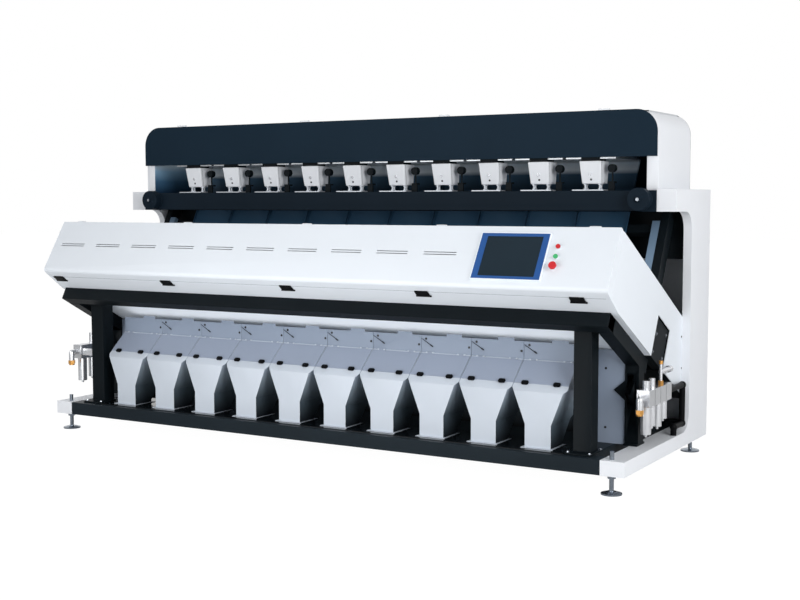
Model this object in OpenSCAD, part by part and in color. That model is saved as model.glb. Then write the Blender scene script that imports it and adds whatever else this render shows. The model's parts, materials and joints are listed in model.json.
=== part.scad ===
// Chute type optical colour sorter: a steel base and two side frames carry a tilted optical box,
// a row of chutes with vibrating feeders under a hood, and a row of discharge hoppers.
// Depths are measured back from the front face of the base, heights up from the floor.

/* [Base and side frames] */
// Overall width over the two side frames
frame_w = 3914; // [3700:1:4300]
// Depth of the base, front to rear
base_d = 1381; // [1340:1:1500]
// Height of the underside of the base above the floor
ground_gap = 100; // [80:1:130]
// Height of the base rails and beams
rail_h = 79; // [70:1:90]
// Width of each white base rail
rail_w = 130; // [120:1:135]
// Depth of the front and rear base beams
beam_d = 100; // [90:1:102]
// Thickness of the side panel of each side frame
panel_t = 48; // [40:1:60]
// Depth of each side column
column_d = 344; // [320:1:360]
// Height of the side frames
column_top = 1548; // [1545:1:1600]
// Height of the arm at the top of each side frame
arm_h = 124; // [115:1:130]
// Width of the arm at the top of each side frame
arm_w = 112; // [100:1:116]
// Setback of the arms and the feeder beam from the base front
arm_setback = 757; // [740:1:770]
// Radius of the inner corner under each arm
corner_r = 105; // [60:1:140]
// Radius of the inner corner above each base rail
heel_r = 100; // [80:1:110]

/* [Feet] */
// Diameter of the foot pads
pad_d = 109; // [80:1:120]
// Diameter of the foot studs
stud_d = 24; // [16:1:30]
// Inset of the feet from the outer face of the side frames
foot_inset = 83; // [60:1:100]
// Inset of the feet from the front and the rear of the base
foot_end = 47; // [40:1:80]

/* [Optical box] */
// Lean of the chutes and the optical box
tilt = 28; // [26:0.5:30]
// Setback of the lower front corner of the optical box from the base front
chin_setback = 14; // [0:1:30]
// Height of the lower front corner of the optical box
chin_z = 927; // [915:1:940]
// Height of the optical box, square to its floor
box_h = 393; // [380:1:410]
// Reach of the front cover ahead of the chin at its bend
bend_reach = 191; // [180:1:200]
// Height of the bend above the floor of the optical box
bend_rise = 31; // [25:1:40]
// Reach of the top edge of the front cover
top_reach = 165; // [155:1:175]
// Reach of the seam between the cover and the fixed chin
seam_reach = 121; // [110:1:130]
// Radius of the bend of the cover
bend_r = 22; // [15:1:30]
// Sheet thickness of the covers
sheet_t = 3; // [2:0.5:4]
// Distance from the chin to the front side of the product channel
channel_front = 572; // [560:1:580]
// Width of the product channel
channel_w = 225; // [215:1:235]
// Height of the notch in each end panel
notch_h = 240; // [220:1:260]
// Depth of the rear part of the optical box
rear_box_d = 440; // [400:1:450]
// Size of the square beam under the optical box
box_beam = 79; // [70:1:85]

/* [Chutes and hoppers] */
// Part of the width that the row of chutes leaves free
row_margin = 714; // [700:1:740]
// Distance from the chin to the sliding face of the chutes
chute_set = 660; // [655:1:672]
// Length of the chutes
chute_len = 1130; // [1100:1:1150]
// Height of the lower end of the chutes above the box floor
chute_low = 160; // [150:1:170]
// Gap between two neighbours in the row of chutes
chute_gap = 8; // [6:0.5:12]
// Gap between two neighbours in the row of hoppers
row_gap = 3; // [2:0.5:6]
// Setback of the hopper fronts from the base front
hopper_setback = 100; // [96:1:106]
// Height of the hopper lip
lip_z = 482; // [470:1:490]
// Height of the top of the hopper spouts
spout_z = 308; // [290:1:320]
// Width of the hopper spouts
spout_w = 150; // [140:1:160]
// Depth of the hopper spouts
spout_d = 150; // [140:1:160]
// Setback of the hopper door hinge from the hopper front
door_run = 169; // [160:1:175]
// Rise of the hopper door hinge above the lip
door_rise = 147; // [140:1:152]
// Height of the hopper head wall above the door hinge
head_h = 97; // [85:1:105]
// Width of the fixed flange under each hopper door
flange_w = 54; // [45:1:60]
// Sheet thickness of the hoppers
hopper_t = 2; // [1.5:0.5:3]

/* [Hood and feeders] */
// Inset of the hood ends from the outer faces
hood_inset = 114; // [113:1:120]
// Height of the hood above the floor
hood_top = 1988; // [1970:1:2010]
// Height of the lower edge of the dark hood panel
hood_low = 1728; // [1722:1:1735]
// Setback of the hood front from the base front
hood_setback = 768; // [765:1:775]
// Setback of the hood rear from the rear of the base
hood_rear = 36; // [30:1:50]
// Corner radius of the hood
hood_r = 125; // [90:1:140]
// Thickness of the hood end boxes
hood_end = 67; // [60:1:72]
// Height of the feeder beam
feeder_beam_h = 117; // [112:1:120]
// Width of the vibrator boxes at the top
vib_w = 130; // [120:1:150]
// Width of the vibrator boxes at the bottom
vib_foot_w = 114; // [110:1:120]
// Height of the vibrator boxes
vib_h = 128; // [120:1:132]
// Depth of the vibrator boxes at the top
vib_d = 132; // [120:1:140]
// Forward lean of the front of the vibrator boxes
vib_lean = 12; // [8:1:16]

/* [Controls] */
// Width of the touch screen bezel
bezel_w = 387; // [340:1:400]
// Height of the touch screen bezel
bezel_h = 272; // [250:1:285]
// Inset of the middle of the touch screen from the right outer face
screen_inset = 610; // [600:1:640]
// Inset of the push buttons from the right outer face
button_inset = 359; // [340:1:370]
// Spacing of the push buttons down the cover
button_step = 58; // [54:1:64]
// Distance of the highest button below the top edge of the cover
button_drop = 120; // [100:1:130]
// Radius of the push button caps
cap_r = 12; // [10:0.5:13]
// Radius of the emergency stop head
mushroom_r = 20; // [18:0.5:22]
// Length of the vent slots
slot_l = 198; // [160:1:220]
// Height of the vent slots
slot_h = 5; // [4:0.5:6]

/* [Fits] */
// Radial running clearance of pins, stems and knobs
run_gap = 0.05; // [0.03:0.01:0.1]
// Clearance between faces that move past each other
slip_gap = 0.4; // [0.3:0.1:0.6]
// Seam between a cover and its neighbour
seam_gap = 2; // [1.5:0.5:3]
// Gap at faces that are bolted together
seat_gap = 0.02; // [0.01:0.01:0.05]

/* [Hidden] */
$fn = 48;
CHUTES = 10;
LATCHES = 5;
FIXED_NODES = [
    "base_front_beam", "base_members", "left_side_frame", "right_side_frame",
    "foot_studs", "foot_pads", "front_posts", "side_legs", "box_beam", "feeder_beam",
    "hood_shell", "hood_panels", "feed_bin", "end_panels", "box_floor", "box_top",
    "window_glasses", "optics_frames", "led_bars", "line_cameras", "rear_box", "ejector_bar",
    "chutes", "chute_arms", "chute_rails", "hoppers", "deck_plate", "vibrator_boxes",
    "vibrator_bases", "vibrator_arms", "hinge_pins", "air_units", "air_bowls", "air_fittings",
    "air_pipes", "latch_mounts", "rear_cabinet"
];
MOVING_NODES = [
    "front_cover", "screen_bezel", "touch_screen", "stop_button", "start_button",
    "emergency_button", "feeder_trays", "regulator_knob"
];

// Overall frame: the origin is under the middle of the machine
outer_x = frame_w / 2;
rail_in = outer_x - rail_w;
panel_in = outer_x - panel_t;
box_half = panel_in - seat_gap;
rail_top = ground_gap + rail_h;
face_lean = tilt + atan((bend_reach - top_reach) / (box_h - bend_rise));
chin_drop = atan(bend_rise / bend_reach);

// Centre of the round bend of the cover, in the frame of the optical box
bend_half = (180 - (face_lean - tilt) - 90 + chin_drop) / 2;
bend_center = [-bend_reach, bend_rise] + bend_r / sin(bend_half)
    * [cos(bend_half - chin_drop), sin(bend_half - chin_drop)];
cover_front = chin_setback + bend_center[0] * cos(tilt) + bend_center[1] * sin(tilt) - bend_r;
base_rear = base_d + max(0, pad_d / 2 - foot_end);
base_front = -(base_rear + cover_front) / 2;
pitch = (frame_w - row_margin) / CHUTES;
half_row = pitch * CHUTES / 2;
hood_half = outer_x - hood_inset;
hood_d = base_d - hood_setback - hood_rear;
screen_x = outer_x - screen_inset;
button_x = outer_x - button_inset;

// Colours
WHITE = [0.91, 0.92, 0.94];
BLACK = [0.09, 0.10, 0.11];
NAVY = [0.11, 0.17, 0.22];
GREY = [0.76, 0.79, 0.83];
STEEL = [0.70, 0.72, 0.75];
BRASS = [0.85, 0.65, 0.35];

// Place of chute number k, counted from 0 at the left
function chute_x(k) = (k - (CHUTES - 1) / 2) * pitch;

// Move to a depth behind the base front and a height above the floor
module at(x, depth, z) {
    translate([x, base_front + depth, z]) children();
}

// Box given by its middle in X, and its lower and upper depth and height
module slab(x, w, y0, y1, z0, z1) {
    at(x - w / 2, y0, z0) cube([w, y1 - y0, z1 - z0]);
}

// Extrude a depth and height profile along X, centred
module along_x(w) {
    rotate([90, 0, 90]) linear_extrude(w, center = true) children();
}

// Frame of the optical box: Y runs back along its floor, Z square to it
module in_box() {
    at(0, chin_setback, chin_z) rotate([-tilt, 0, 0]) children();
}

// Frame of the cover face: origin on its top edge, Y up the face, Z out of it
module on_face() {
    in_box() translate([0, -top_reach, box_h]) rotate([90 - face_lean + tilt, 0, 0]) children();
}

// Frame of the chin: origin on the seam, Y back along the chin, Z out of it
module on_chin() {
    in_box() translate([0, -seam_reach, chin_height(seam_reach)])
        rotate([-chin_drop, 0, 0]) mirror([0, 0, 1]) children();
}
function chin_height(reach) = reach * bend_rise / bend_reach;

// Depth at which a plane square to the box floor, at u behind the chin, reaches a height
function depth_at(u, z) = chin_setback + u / cos(tilt) + (z - chin_z) * tan(tilt);

// Height of the box floor plane at a depth behind the base front
function floor_z(depth) = chin_z - (depth - chin_setback) * tan(tilt);

// Space above the box floor plane, used to cut posts to it
module above_floor(x, w) {
    in_box() translate([x - w / 2, -base_d, 0]) cube([w, 3 * base_d, 2 * base_d]);
}

// Arc of points round a corner, from angle a0 to a1
function turn(r, a) = r * [cos(a), sin(a)];
function arc(c, r, a0, a1, n = 8) = [for (i = [0 : n]) c + turn(r, a0 + (a1 - a0) * i / n)];

// Hollow rectangular tube along X
TUBE_T = 5;
module tube_x(w, d, h) {
    along_x(w) difference() {
        square([d, h]);
        translate([TUBE_T, TUBE_T]) square([d - 2 * TUBE_T, h - 2 * TUBE_T]);
    }
}

// Base

module base_front_beam() {
    color(BLACK) at(0, 0, ground_gap) tube_x(2 * rail_in, beam_d, rail_h);
}

POST_W = 100;
POST_GAP = 38;
POST_IN = half_row + POST_GAP;
MID_RAIL_D = 60;
mid_rail_y = hopper_setback + spout_d + 70;
reject_y = 660;
REJECT_D = 100;
module base_members() {
    color(BLACK) {
        at(0, base_d - beam_d, ground_gap) tube_x(2 * rail_in, beam_d, rail_h);
        at(0, mid_rail_y, ground_gap) tube_x(2 * POST_IN, MID_RAIL_D, rail_h);
        at(0, reject_y, ground_gap) tube_x(2 * POST_IN, REJECT_D, rail_h);
        for (side = [-1, 1])
            slab(side * (POST_IN + POST_W / 2), POST_W, beam_d, base_d - beam_d, ground_gap, rail_top);
    }
}

DECK_T = 4;
deck_top = rail_top + DECK_T;
DECK_FRONT = 40;
module deck_plate() {
    color(BLACK) difference() {
        slab(0, 2 * POST_IN - 60, DECK_FRONT, mid_rail_y + MID_RAIL_D, rail_top, deck_top);
        for (k = [0 : CHUTES - 1])
            slab(chute_x(k), spout_w - 2 * hopper_t, hopper_setback + hopper_t,
                hopper_setback + spout_d - hopper_t, rail_top - 1, deck_top + 1);
    }
}

// One white side frame: base rail, column and arm with round inner corners
module side_profile() {
    column_y = base_d - column_d;
    arm_z = column_top - arm_h;
    polygon(concat(
        [[0, ground_gap], [base_d, ground_gap], [base_d, column_top]],
        [[arm_setback, column_top], [arm_setback, arm_z]],
        arc([column_y - corner_r, arm_z - corner_r], corner_r, 90, 0),
        arc([column_y - heel_r, rail_top + heel_r], heel_r, 0, -90),
        [[0, rail_top]]
    ));
}
STUD_GAP = 0.5;
module side_frame(side) {
    color(WHITE) difference() {
        union() {
            at(side * (outer_x - panel_t / 2), 0, 0) along_x(panel_t) side_profile();
            slab(side * (outer_x - rail_w / 2), rail_w, 0, base_d, ground_gap, rail_top);
            slab(side * (outer_x - arm_w / 2), arm_w, arm_setback, base_d, column_top - arm_h, column_top);
        }
        each_foot() cylinder(d = stud_d + 2 * STUD_GAP, h = rail_top + 1.5 * STUD_RISE);
    }
}

// Feet
STUD_RISE = 43;
PAD_H = 16;
NUT_H = 18;
module each_foot() {
    for (side = [-1, 1], y = [foot_end, base_d - foot_end])
        at(side * (outer_x - foot_inset), y, 0) children();
}
module foot_studs() {
    color(STEEL) each_foot() {
        translate([0, 0, PAD_H]) cylinder(d = stud_d, h = rail_top + STUD_RISE - PAD_H);
        translate([0, 0, ground_gap - NUT_H]) cylinder(d = 1.9 * stud_d, h = NUT_H, $fn = 6);
    }
}
module foot_pads() {
    color(STEEL) each_foot() {
        cylinder(d = pad_d, h = PAD_H / 2);
        translate([0, 0, PAD_H / 2]) cylinder(d1 = pad_d, d2 = 2.2 * stud_d, h = PAD_H / 2);
    }
}

// Black legs

POST_D = 97;
POST_SETBACK = 103;
FOOT_PLATE_T = 10;
FOOT_PLATE_RIM = 20;
module front_posts() {
    color(BLACK) for (side = [-1, 1]) {
        x = side * (POST_IN + POST_W / 2);
        difference() {
            slab(x, POST_W, POST_SETBACK, POST_SETBACK + POST_D, rail_top, chin_z);
            above_floor(x, 2 * POST_W);
        }
        slab(x, POST_W + 2 * FOOT_PLATE_RIM, DECK_FRONT, POST_SETBACK + POST_D + FOOT_PLATE_RIM,
            rail_top, rail_top + FOOT_PLATE_T);
    }
}

LEG_W = 78;
LEG_D = 80;
LEG_INSET = 86;
LEG_OUT = outer_x - LEG_INSET;
LEG_SETBACK = 440;
BRACE_END = 640;
module side_legs() {
    color(BLACK) for (side = [-1, 1]) {
        x = side * (LEG_OUT - LEG_W / 2);
        difference() {
            slab(x, LEG_W, LEG_SETBACK, LEG_SETBACK + LEG_D, rail_top, chin_z);
            above_floor(x, 2 * LEG_W);
        }
        slab(x, LEG_W, LEG_SETBACK - FOOT_PLATE_RIM, LEG_SETBACK + LEG_D + FOOT_PLATE_RIM,
            rail_top, rail_top + FOOT_PLATE_T);
        in_box() translate([x - LEG_W / 2, box_beam, -box_beam])
            cube([LEG_W, BRACE_END - box_beam, box_beam]);
        leg_gusset(x);
    }
}

// Triangular plate on the front of each second post
GUSSET = 62;
GUSSET_T = 30;
GUSSET_Z = 400;
module leg_gusset(x) {
    at(x, LEG_SETBACK, GUSSET_Z) along_x(GUSSET_T)
        polygon([[0, 0], [0, 2 * GUSSET], [-GUSSET, GUSSET]]);
}

module box_beam() {
    color(BLACK) in_box() translate([0, 0, -box_beam]) tube_x(2 * LEG_OUT, box_beam, box_beam);
}

// Optical box

END_T = 6;
end_in = box_half - END_T;
rear_end = channel_front + channel_w + rear_box_d;
module end_panels() {
    color(WHITE) for (side = [-1, 1])
        in_box() translate([side * (box_half - END_T / 2), 0, 0]) along_x(END_T) difference() {
            polygon([
                [-seam_reach + seam_gap, chin_height(seam_reach - seam_gap)], [0, 0], [rear_end, 0],
                [rear_end, box_h], [-seam_reach + seam_gap, box_h]
            ]);
            translate([channel_front, -1]) square([channel_w, notch_h + 1]);
        }
}

// Floor of the front part, folded up at the chin and at the product channel
FOLD_H = 36;
module box_floor() {
    color(WHITE) in_box() along_x(2 * end_in) {
        polygon([
            [-seam_reach + seam_gap, chin_height(seam_reach - seam_gap)], [0, 0], [channel_front, 0],
            [channel_front, FOLD_H], [channel_front - sheet_t, FOLD_H], [channel_front - sheet_t, sheet_t],
            [0, sheet_t], [-seam_reach + seam_gap, chin_height(seam_reach - seam_gap) + sheet_t]
        ]);
    }
}

// Top of the front part, from the hinge line to the product channel
HINGE_R = 7;
HINGE_RISE = 5;
HINGE_BACK = 13;
hinge_u = -top_reach + HINGE_BACK;
hinge_v = box_h + HINGE_RISE;
top_front = hinge_u + HINGE_R + seam_gap;
module box_top() {
    color(WHITE) in_box() along_x(2 * end_in) polygon([
        [top_front, box_h - sheet_t], [channel_front, box_h - sheet_t],
        [channel_front, box_h], [top_front, box_h]
    ]);
}

// Glass panes on both sides of the product channel
GLASS_T = 6;
GLASS_LOW = FOLD_H + 10;
GLASS_H = 200;
GLASS_RIM = 40;
rear_glass = channel_front + channel_w;
module window_glasses() {
    color([0.7, 0.85, 0.9, 0.4]) in_box() for (u = [channel_front - GLASS_T, rear_glass])
        translate([0, u, GLASS_LOW]) along_x(2 * half_row + GLASS_RIM) square([GLASS_T, GLASS_H]);
}

// Frames that hold the glass, and the rails that carry lamps and cameras
RAIL = 40;
CAM_RAIL_U = 40;
CAM_RAIL_V = 150;
REAR_CAM_U = rear_end - 90;
module glass_frame(u, low) {
    translate([0, u, 0]) along_x(2 * end_in) {
        translate([0, low]) square([GLASS_T, GLASS_LOW - low]);
        translate([0, GLASS_LOW + GLASS_H]) square([GLASS_T, box_h - sheet_t - GLASS_LOW - GLASS_H]);
    }
}
module optics_frames() {
    color(BLACK) in_box() {
        glass_frame(channel_front - GLASS_T, FOLD_H);
        glass_frame(rear_glass, sheet_t);
        translate([0, CAM_RAIL_U, CAM_RAIL_V]) along_x(2 * end_in) square(RAIL);
        translate([0, REAR_CAM_U, CAM_RAIL_V]) along_x(2 * end_in) square(RAIL);
    }
}

// LED bars: two lamps light the product from each side
LED_W = 46;
LED_H = 30;
LED_GAP = 60;
module led_bar(u) {
    translate([0, u, sheet_t]) along_x(2 * end_in) square([LED_W, LED_H]);
    translate([0, u, box_h - sheet_t - LED_H]) along_x(2 * end_in) square([LED_W, LED_H]);
}
module led_bars() {
    color([0.9, 0.95, 1]) in_box() {
        led_bar(channel_front - LED_GAP - LED_W);
        led_bar(rear_glass + LED_GAP);
    }
}

// Line scan cameras, one per chute on each side, lens towards the product
CAM_W = 70;
CAM_L = 90;
CAM_H = 60;
LENS_R = 18;
LENS_L = 35;
module camera(dir) {
    translate([-CAM_W / 2, -CAM_L / 2, 0]) cube([CAM_W, CAM_L, CAM_H]);
    translate([0, dir * CAM_L / 2, CAM_H / 2]) rotate([-dir * 90, 0, 0]) cylinder(r = LENS_R, h = LENS_L);
}
module line_cameras() {
    color([0.2, 0.2, 0.22]) in_box() for (k = [0 : CHUTES - 1]) {
        translate([chute_x(k), CAM_RAIL_U + RAIL / 2, CAM_RAIL_V + RAIL]) camera(1);
        translate([chute_x(k), REAR_CAM_U + RAIL / 2, CAM_RAIL_V + RAIL]) camera(-1);
    }
}

// Folded shell of the rear part: floor, back and top
module rear_box() {
    color(BLACK) in_box() along_x(2 * end_in) polygon([
        [rear_glass, 0], [rear_end, 0], [rear_end, box_h], [rear_glass, box_h],
        [rear_glass, box_h - sheet_t], [rear_end - sheet_t, box_h - sheet_t],
        [rear_end - sheet_t, sheet_t], [rear_glass, sheet_t]
    ]);
}

// Ejector manifold: a bar with a nozzle strip, in front of the falling product
EJECT_D = 40;
EJECT_H = 34;
NOZZLE_D = 16;
NOZZLE_H = 12;
module ejector_bar() {
    color(STEEL) in_box() translate([0, channel_front, 0]) along_x(2 * half_row + 100) {
        square([EJECT_D, EJECT_H]);
        translate([EJECT_D, EJECT_H - NOZZLE_H]) square([NOZZLE_D, NOZZLE_H]);
    }
}

// Chutes and their carriers

CHUTE_T = 4;
CHUTE_LIP = 12;
module chutes() {
    color([0.14, 0.24, 0.32]) in_box() for (k = [0 : CHUTES - 1])
        translate([chute_x(k), chute_set, chute_low]) linear_extrude(chute_len) {
            w = pitch - chute_gap;
            translate([-w / 2, 0]) square([w, CHUTE_T]);
            for (side = [-1, 1])
                translate([side * (w - CHUTE_T) / 2 - CHUTE_T / 2, -CHUTE_LIP]) square([CHUTE_T, CHUTE_LIP]);
        }
}

ARM_FRONT = 633;
ARM_D = 89;
ARM_T = 48;
ARM_OUT = hood_half;
ARM_LOW = 5;
CHEEK_GAP = 4;
module chute_arms() {
    color(BLACK) for (side = [-1, 1]) {
        difference() {
            in_box() translate([side * (ARM_OUT - ARM_T / 2) - ARM_T / 2, ARM_FRONT, ARM_LOW])
                cube([ARM_T, ARM_D, chute_low + chute_len]);
            slab(side * ARM_OUT, 4 * ARM_T, 0, base_d, column_top - arm_h, 2 * hood_top);
        }
        cheek_w = end_in - CHEEK_GAP - ARM_OUT;
        in_box() translate([side * (ARM_OUT + cheek_w / 2), channel_front + CHEEK_GAP, ARM_LOW])
            translate([-cheek_w / 2, 0, 0])
            cube([cheek_w, channel_w - 2 * CHEEK_GAP, notch_h - ARM_LOW - CHEEK_GAP]);
    }
}

// Cross rails behind the chutes
CHUTE_RAIL_H = 50;
RAIL_ONE = 300;
RAIL_TWO = 620;
CHUTE_RAIL_D = ARM_FRONT + ARM_D - chute_set - CHUTE_T;
SIDE_RAIL_W = 45;
SIDE_RAIL_D = 30;
SIDE_RAIL_L = 780;
SIDE_RAIL_LOW = 60;
module chute_rails() {
    inner = ARM_OUT - ARM_T;
    color([0.55, 0.62, 0.68]) in_box() {
        for (v = [chute_low + RAIL_ONE, chute_low + RAIL_TWO])
            translate([0, chute_set + CHUTE_T, v]) along_x(2 * inner) square([CHUTE_RAIL_D, CHUTE_RAIL_H]);
        for (side = [-1, 1])
            translate([side * (inner - SIDE_RAIL_W / 2) - SIDE_RAIL_W / 2, ARM_FRONT, SIDE_RAIL_LOW])
                cube([SIDE_RAIL_W, SIDE_RAIL_D, SIDE_RAIL_L]);
    }
}

// Hoppers

door_angle = atan(door_rise / door_run);
hopper_w = pitch - row_gap;
HOPPER_BACK_Z = 17;
LIP_RISE = 17;
lip_w = hopper_w - 2 * LIP_RISE;
HOPPER_BACK_RUN = 372;
REJECT_WALL = 190;
REJECT_RISE = 120;

// Depth and height outline of a hopper, set in by t at its walls
module hopper_side(t) {
    back = hopper_setback + spout_d;
    front = hopper_setback;
    step = t / tan(67.5);
    polygon([
        [front + t, lip_z - t * tan((90 - door_angle) / 2)],
        [front + t, deck_top - t], [back - t, deck_top - t],
        [back - t, deck_top + HOPPER_BACK_Z + step],
        [back + HOPPER_BACK_RUN - t, deck_top + HOPPER_BACK_Z + HOPPER_BACK_RUN + step],
        [front + door_run + t, lip_z + door_rise + head_h + t],
        [front + door_run + t, lip_z + door_rise - t * tan((90 - door_angle) / 2)]
    ]);
}

// Width and height outline of a hopper, set in by t at its walls
module hopper_front(t) {
    half = hopper_w / 2 - t;
    neck = spout_w / 2 - t;
    lip = lip_w / 2 - t;
    top = lip_z + door_rise + head_h + 2 * t;
    polygon([
        [-neck, deck_top - t], [neck, deck_top - t], [neck, spout_z], [lip, lip_z], [half, lip_z + LIP_RISE],
        [half, top], [-half, top], [-half, lip_z + LIP_RISE], [-lip, lip_z], [-neck, spout_z]
    ]);
}
module hopper_form(t) {
    intersection() {
        at(0, 0, 0) along_x(hopper_w) hopper_side(t);
        at(0, base_d / 2, 0) rotate([90, 0, 0]) linear_extrude(base_d, center = true) hopper_front(t);
    }
}

// Frame of a hopper door: origin on the lip, Y up the slope, Z out of it
module on_slope() {
    at(0, hopper_setback, lip_z) rotate([door_angle, 0, 0]) children();
}
slope_l = door_run / cos(door_angle);
DOOR_T = 3;
DOOR_RIM = 22;
DOOR_PIN_R = 1.5;
DOOR_BARREL_R = 4;
door_l = slope_l - flange_w - DOOR_BARREL_R;
door_w = hopper_w - 4;
FLANGE_RIM = 17;
FLANGE_T = 3;
EAR_W = 10;
EAR_AT = 100;
module hopper(x) {
    translate([x, 0, 0]) {
        difference() {
            hopper_form(0);
            hopper_form(hopper_t);
            on_slope() translate([-door_w / 2 + DOOR_RIM, flange_w + DOOR_RIM, -4 * hopper_t])
                cube([door_w - 2 * DOOR_RIM, door_l - 2 * DOOR_RIM, 8 * hopper_t]);
        }
        difference() {
            slab(0, spout_w + 2 * FLANGE_RIM, hopper_setback - FLANGE_RIM,
                hopper_setback + spout_d + FLANGE_RIM, deck_top, deck_top + FLANGE_T);
            slab(0, spout_w - hopper_t, hopper_setback + hopper_t / 2,
                hopper_setback + spout_d - hopper_t / 2, deck_top - 1, deck_top + FLANGE_T + 1);
        }
        door_pins();
        slab(TAB_AT, TAB_W, hopper_setback + door_run, hopper_setback + door_run + hopper_t,
            lip_z + door_rise + head_h - 1, lip_z + door_rise + head_h + TAB_H);
    }
}

// Hinge pins of a hopper door, held by ears on the head wall
module door_pins() {
    on_slope() for (x = [-EAR_AT, EAR_AT]) translate([x, slope_l - DOOR_BARREL_R, DOOR_BARREL_R]) {
        rotate([0, 90, 0]) cylinder(r = DOOR_PIN_R, h = 4.5 * EAR_W, center = true);
        for (side = [-1, 1]) translate([side * 2 * EAR_W, 0, 0]) {
            rotate([0, 90, 0]) cylinder(r = DOOR_BARREL_R, h = EAR_W, center = true);
            translate([-EAR_W / 2, -DOOR_BARREL_R / 2, -DOOR_BARREL_R - hopper_t / 2])
                cube([EAR_W, 1.5 * DOOR_BARREL_R, DOOR_BARREL_R + hopper_t / 2]);
        }
    }
}

// Plate that closes the row at each end, between the last hopper and the second post
END_PLATE_BACK = 10;
END_PLATE_GAP = 8;
TAB_W = 96;
TAB_H = 15;
TAB_AT = 52;
module hopper_end(side) {
    inner = half_row - row_gap / 2 - hopper_t / 2;
    outer = LEG_OUT - LEG_W - seat_gap;
    depth = LEG_SETBACK + END_PLATE_BACK;
    slab(side * (inner + outer) / 2, outer - inner, depth, depth + hopper_t, rail_top,
        floor_z(depth + hopper_t) - END_PLATE_GAP);
}

// Trough for the rejects, behind the row of hoppers
module reject_trough() {
    w = 2 * half_row;
    rear = reject_y + REJECT_WALL;
    difference() {
        at(0, 0, 0) along_x(w) polygon([
            [reject_y, rail_top], [reject_y + REJECT_D, rail_top], [rear, rail_top + REJECT_RISE],
            [rear, floor_z(rear) - 12], [reject_y, floor_z(reject_y) - 24]
        ]);
        at(0, 0, 0) along_x(w - 2 * hopper_t) polygon([
            [reject_y + hopper_t, rail_top - 1], [reject_y + REJECT_D - hopper_t, rail_top - 1],
            [rear - hopper_t, rail_top + REJECT_RISE + 1], [rear - hopper_t, chin_z],
            [reject_y + hopper_t, chin_z]
        ]);
    }
}
module hoppers() {
    color(GREY) {
        for (k = [0 : CHUTES - 1]) hopper(chute_x(k));
        for (side = [-1, 1]) hopper_end(side);
        reject_trough();
    }
}

CATCH_AT = 92;
CATCH_W = 36;
CATCH_L = 22;
CATCH_T = 7;
module hopper_door(k) {
    color([0.62, 0.66, 0.72]) translate([chute_x(k), 0, 0]) on_slope() {
        difference() {
            union() {
                translate([-door_w / 2, flange_w, slip_gap])
                    cube([door_w, door_l - DOOR_BARREL_R - slip_gap, DOOR_T]);
                for (x = [-EAR_AT, EAR_AT]) translate([x, slope_l - DOOR_BARREL_R, DOOR_BARREL_R]) {
                    rotate([0, 90, 0])
                        cylinder(r = DOOR_BARREL_R - slip_gap, h = 3 * EAR_W - 2 * slip_gap, center = true);
                    translate([-EAR_W, -2 * DOOR_BARREL_R, -DOOR_BARREL_R + slip_gap])
                        cube([2 * EAR_W, 2 * DOOR_BARREL_R, DOOR_T]);
                }
            }
            for (x = [-EAR_AT, EAR_AT]) translate([x, slope_l - DOOR_BARREL_R, DOOR_BARREL_R])
                rotate([0, 90, 0]) cylinder(r = DOOR_PIN_R + run_gap, h = 6 * EAR_W, center = true);
        }
        for (x = [-CATCH_AT, CATCH_AT])
            translate([x - CATCH_W / 2, flange_w - CATCH_L / 2, slip_gap + DOOR_T])
                cube([CATCH_W, CATCH_L, CATCH_T]);
    }
}

// Feeder frame, hood and feeders

feeder_top = column_top - arm_h + feeder_beam_h;
feeder_half = outer_x - arm_w;
BOSS_R = 64;
BOSS_L = 57;
BOSS_INSET = 200;
BOSS_X = outer_x - BOSS_INSET;
BOSS_RISE = 67;
BOLT_R = 18;
BOLT_H = 10;
module feeder_beam() {
    z0 = column_top - arm_h;
    color(BLACK) {
        difference() {
            slab(0, 2 * feeder_half, arm_setback, hood_setback + hood_d, z0, feeder_top);
            slab(0, 2 * (feeder_half - beam_d), arm_setback + beam_d, hood_setback + hood_d - beam_d,
                z0 - 1, feeder_top + 1);
        }
        for (side = [-1, 1]) at(side * BOSS_X, arm_setback, z0 + BOSS_RISE) rotate([90, 0, 0]) {
            cylinder(r = BOSS_R, h = BOSS_L);
            cylinder(r = BOLT_R, h = BOSS_L + BOLT_H, $fn = 6);
        }
    }
}

// Hood outline in width and height with round upper corners
module hood_outline(half, z0, r) {
    translate([-half, z0]) square([2 * half, hood_top - r - z0]);
    translate([-half + r, z0]) square([2 * (half - r), hood_top - z0]);
    for (side = [-1, 1]) translate([side * (half - r), hood_top - r]) circle(r);
}
module hood_slice(depth, d) {
    at(0, depth + d, 0) rotate([90, 0, 0]) linear_extrude(d) children();
}
HOOD_SKIN = 6;
HOOD_STEP = 18;
INLET_RIM = 36;
CLIP_END = 319;
CLIP_X = (hood_half - CLIP_END) / 3;
CLIP_W = 60;
CLIP_H = 10;
CLIP_D = 30;
hood_in = hood_half - hood_end;
module hood_shell() {
    color(WHITE) {
        difference() {
            hood_slice(hood_setback, hood_d) hood_outline(hood_half, feeder_top, hood_r);
            hood_slice(hood_setback - 1, hood_d + 2) translate([-hood_in, feeder_top - 1])
                square([2 * hood_in, hood_top - HOOD_SKIN - feeder_top + 1]);
            slab(0, 4 * hood_half, 0, hood_setback + HOOD_STEP, 0, hood_low);
            slab(0, 2 * hood_in, hood_setback + INLET_RIM, hood_setback + hood_d - INLET_RIM,
                hood_low, 2 * hood_top);
        }
        for (x = [-3, -1, 1, 3])
            slab(x * CLIP_X, CLIP_W, hood_setback, hood_setback + CLIP_D, hood_top, hood_top + CLIP_H);
    }
}
module hood_panels() {
    color(NAVY) {
        hood_slice(hood_setback - sheet_t, sheet_t) hood_outline(hood_half, hood_low, hood_r);
        hood_slice(hood_setback + hood_d, sheet_t) hood_outline(hood_half, feeder_top, hood_r);
    }
}

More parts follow.
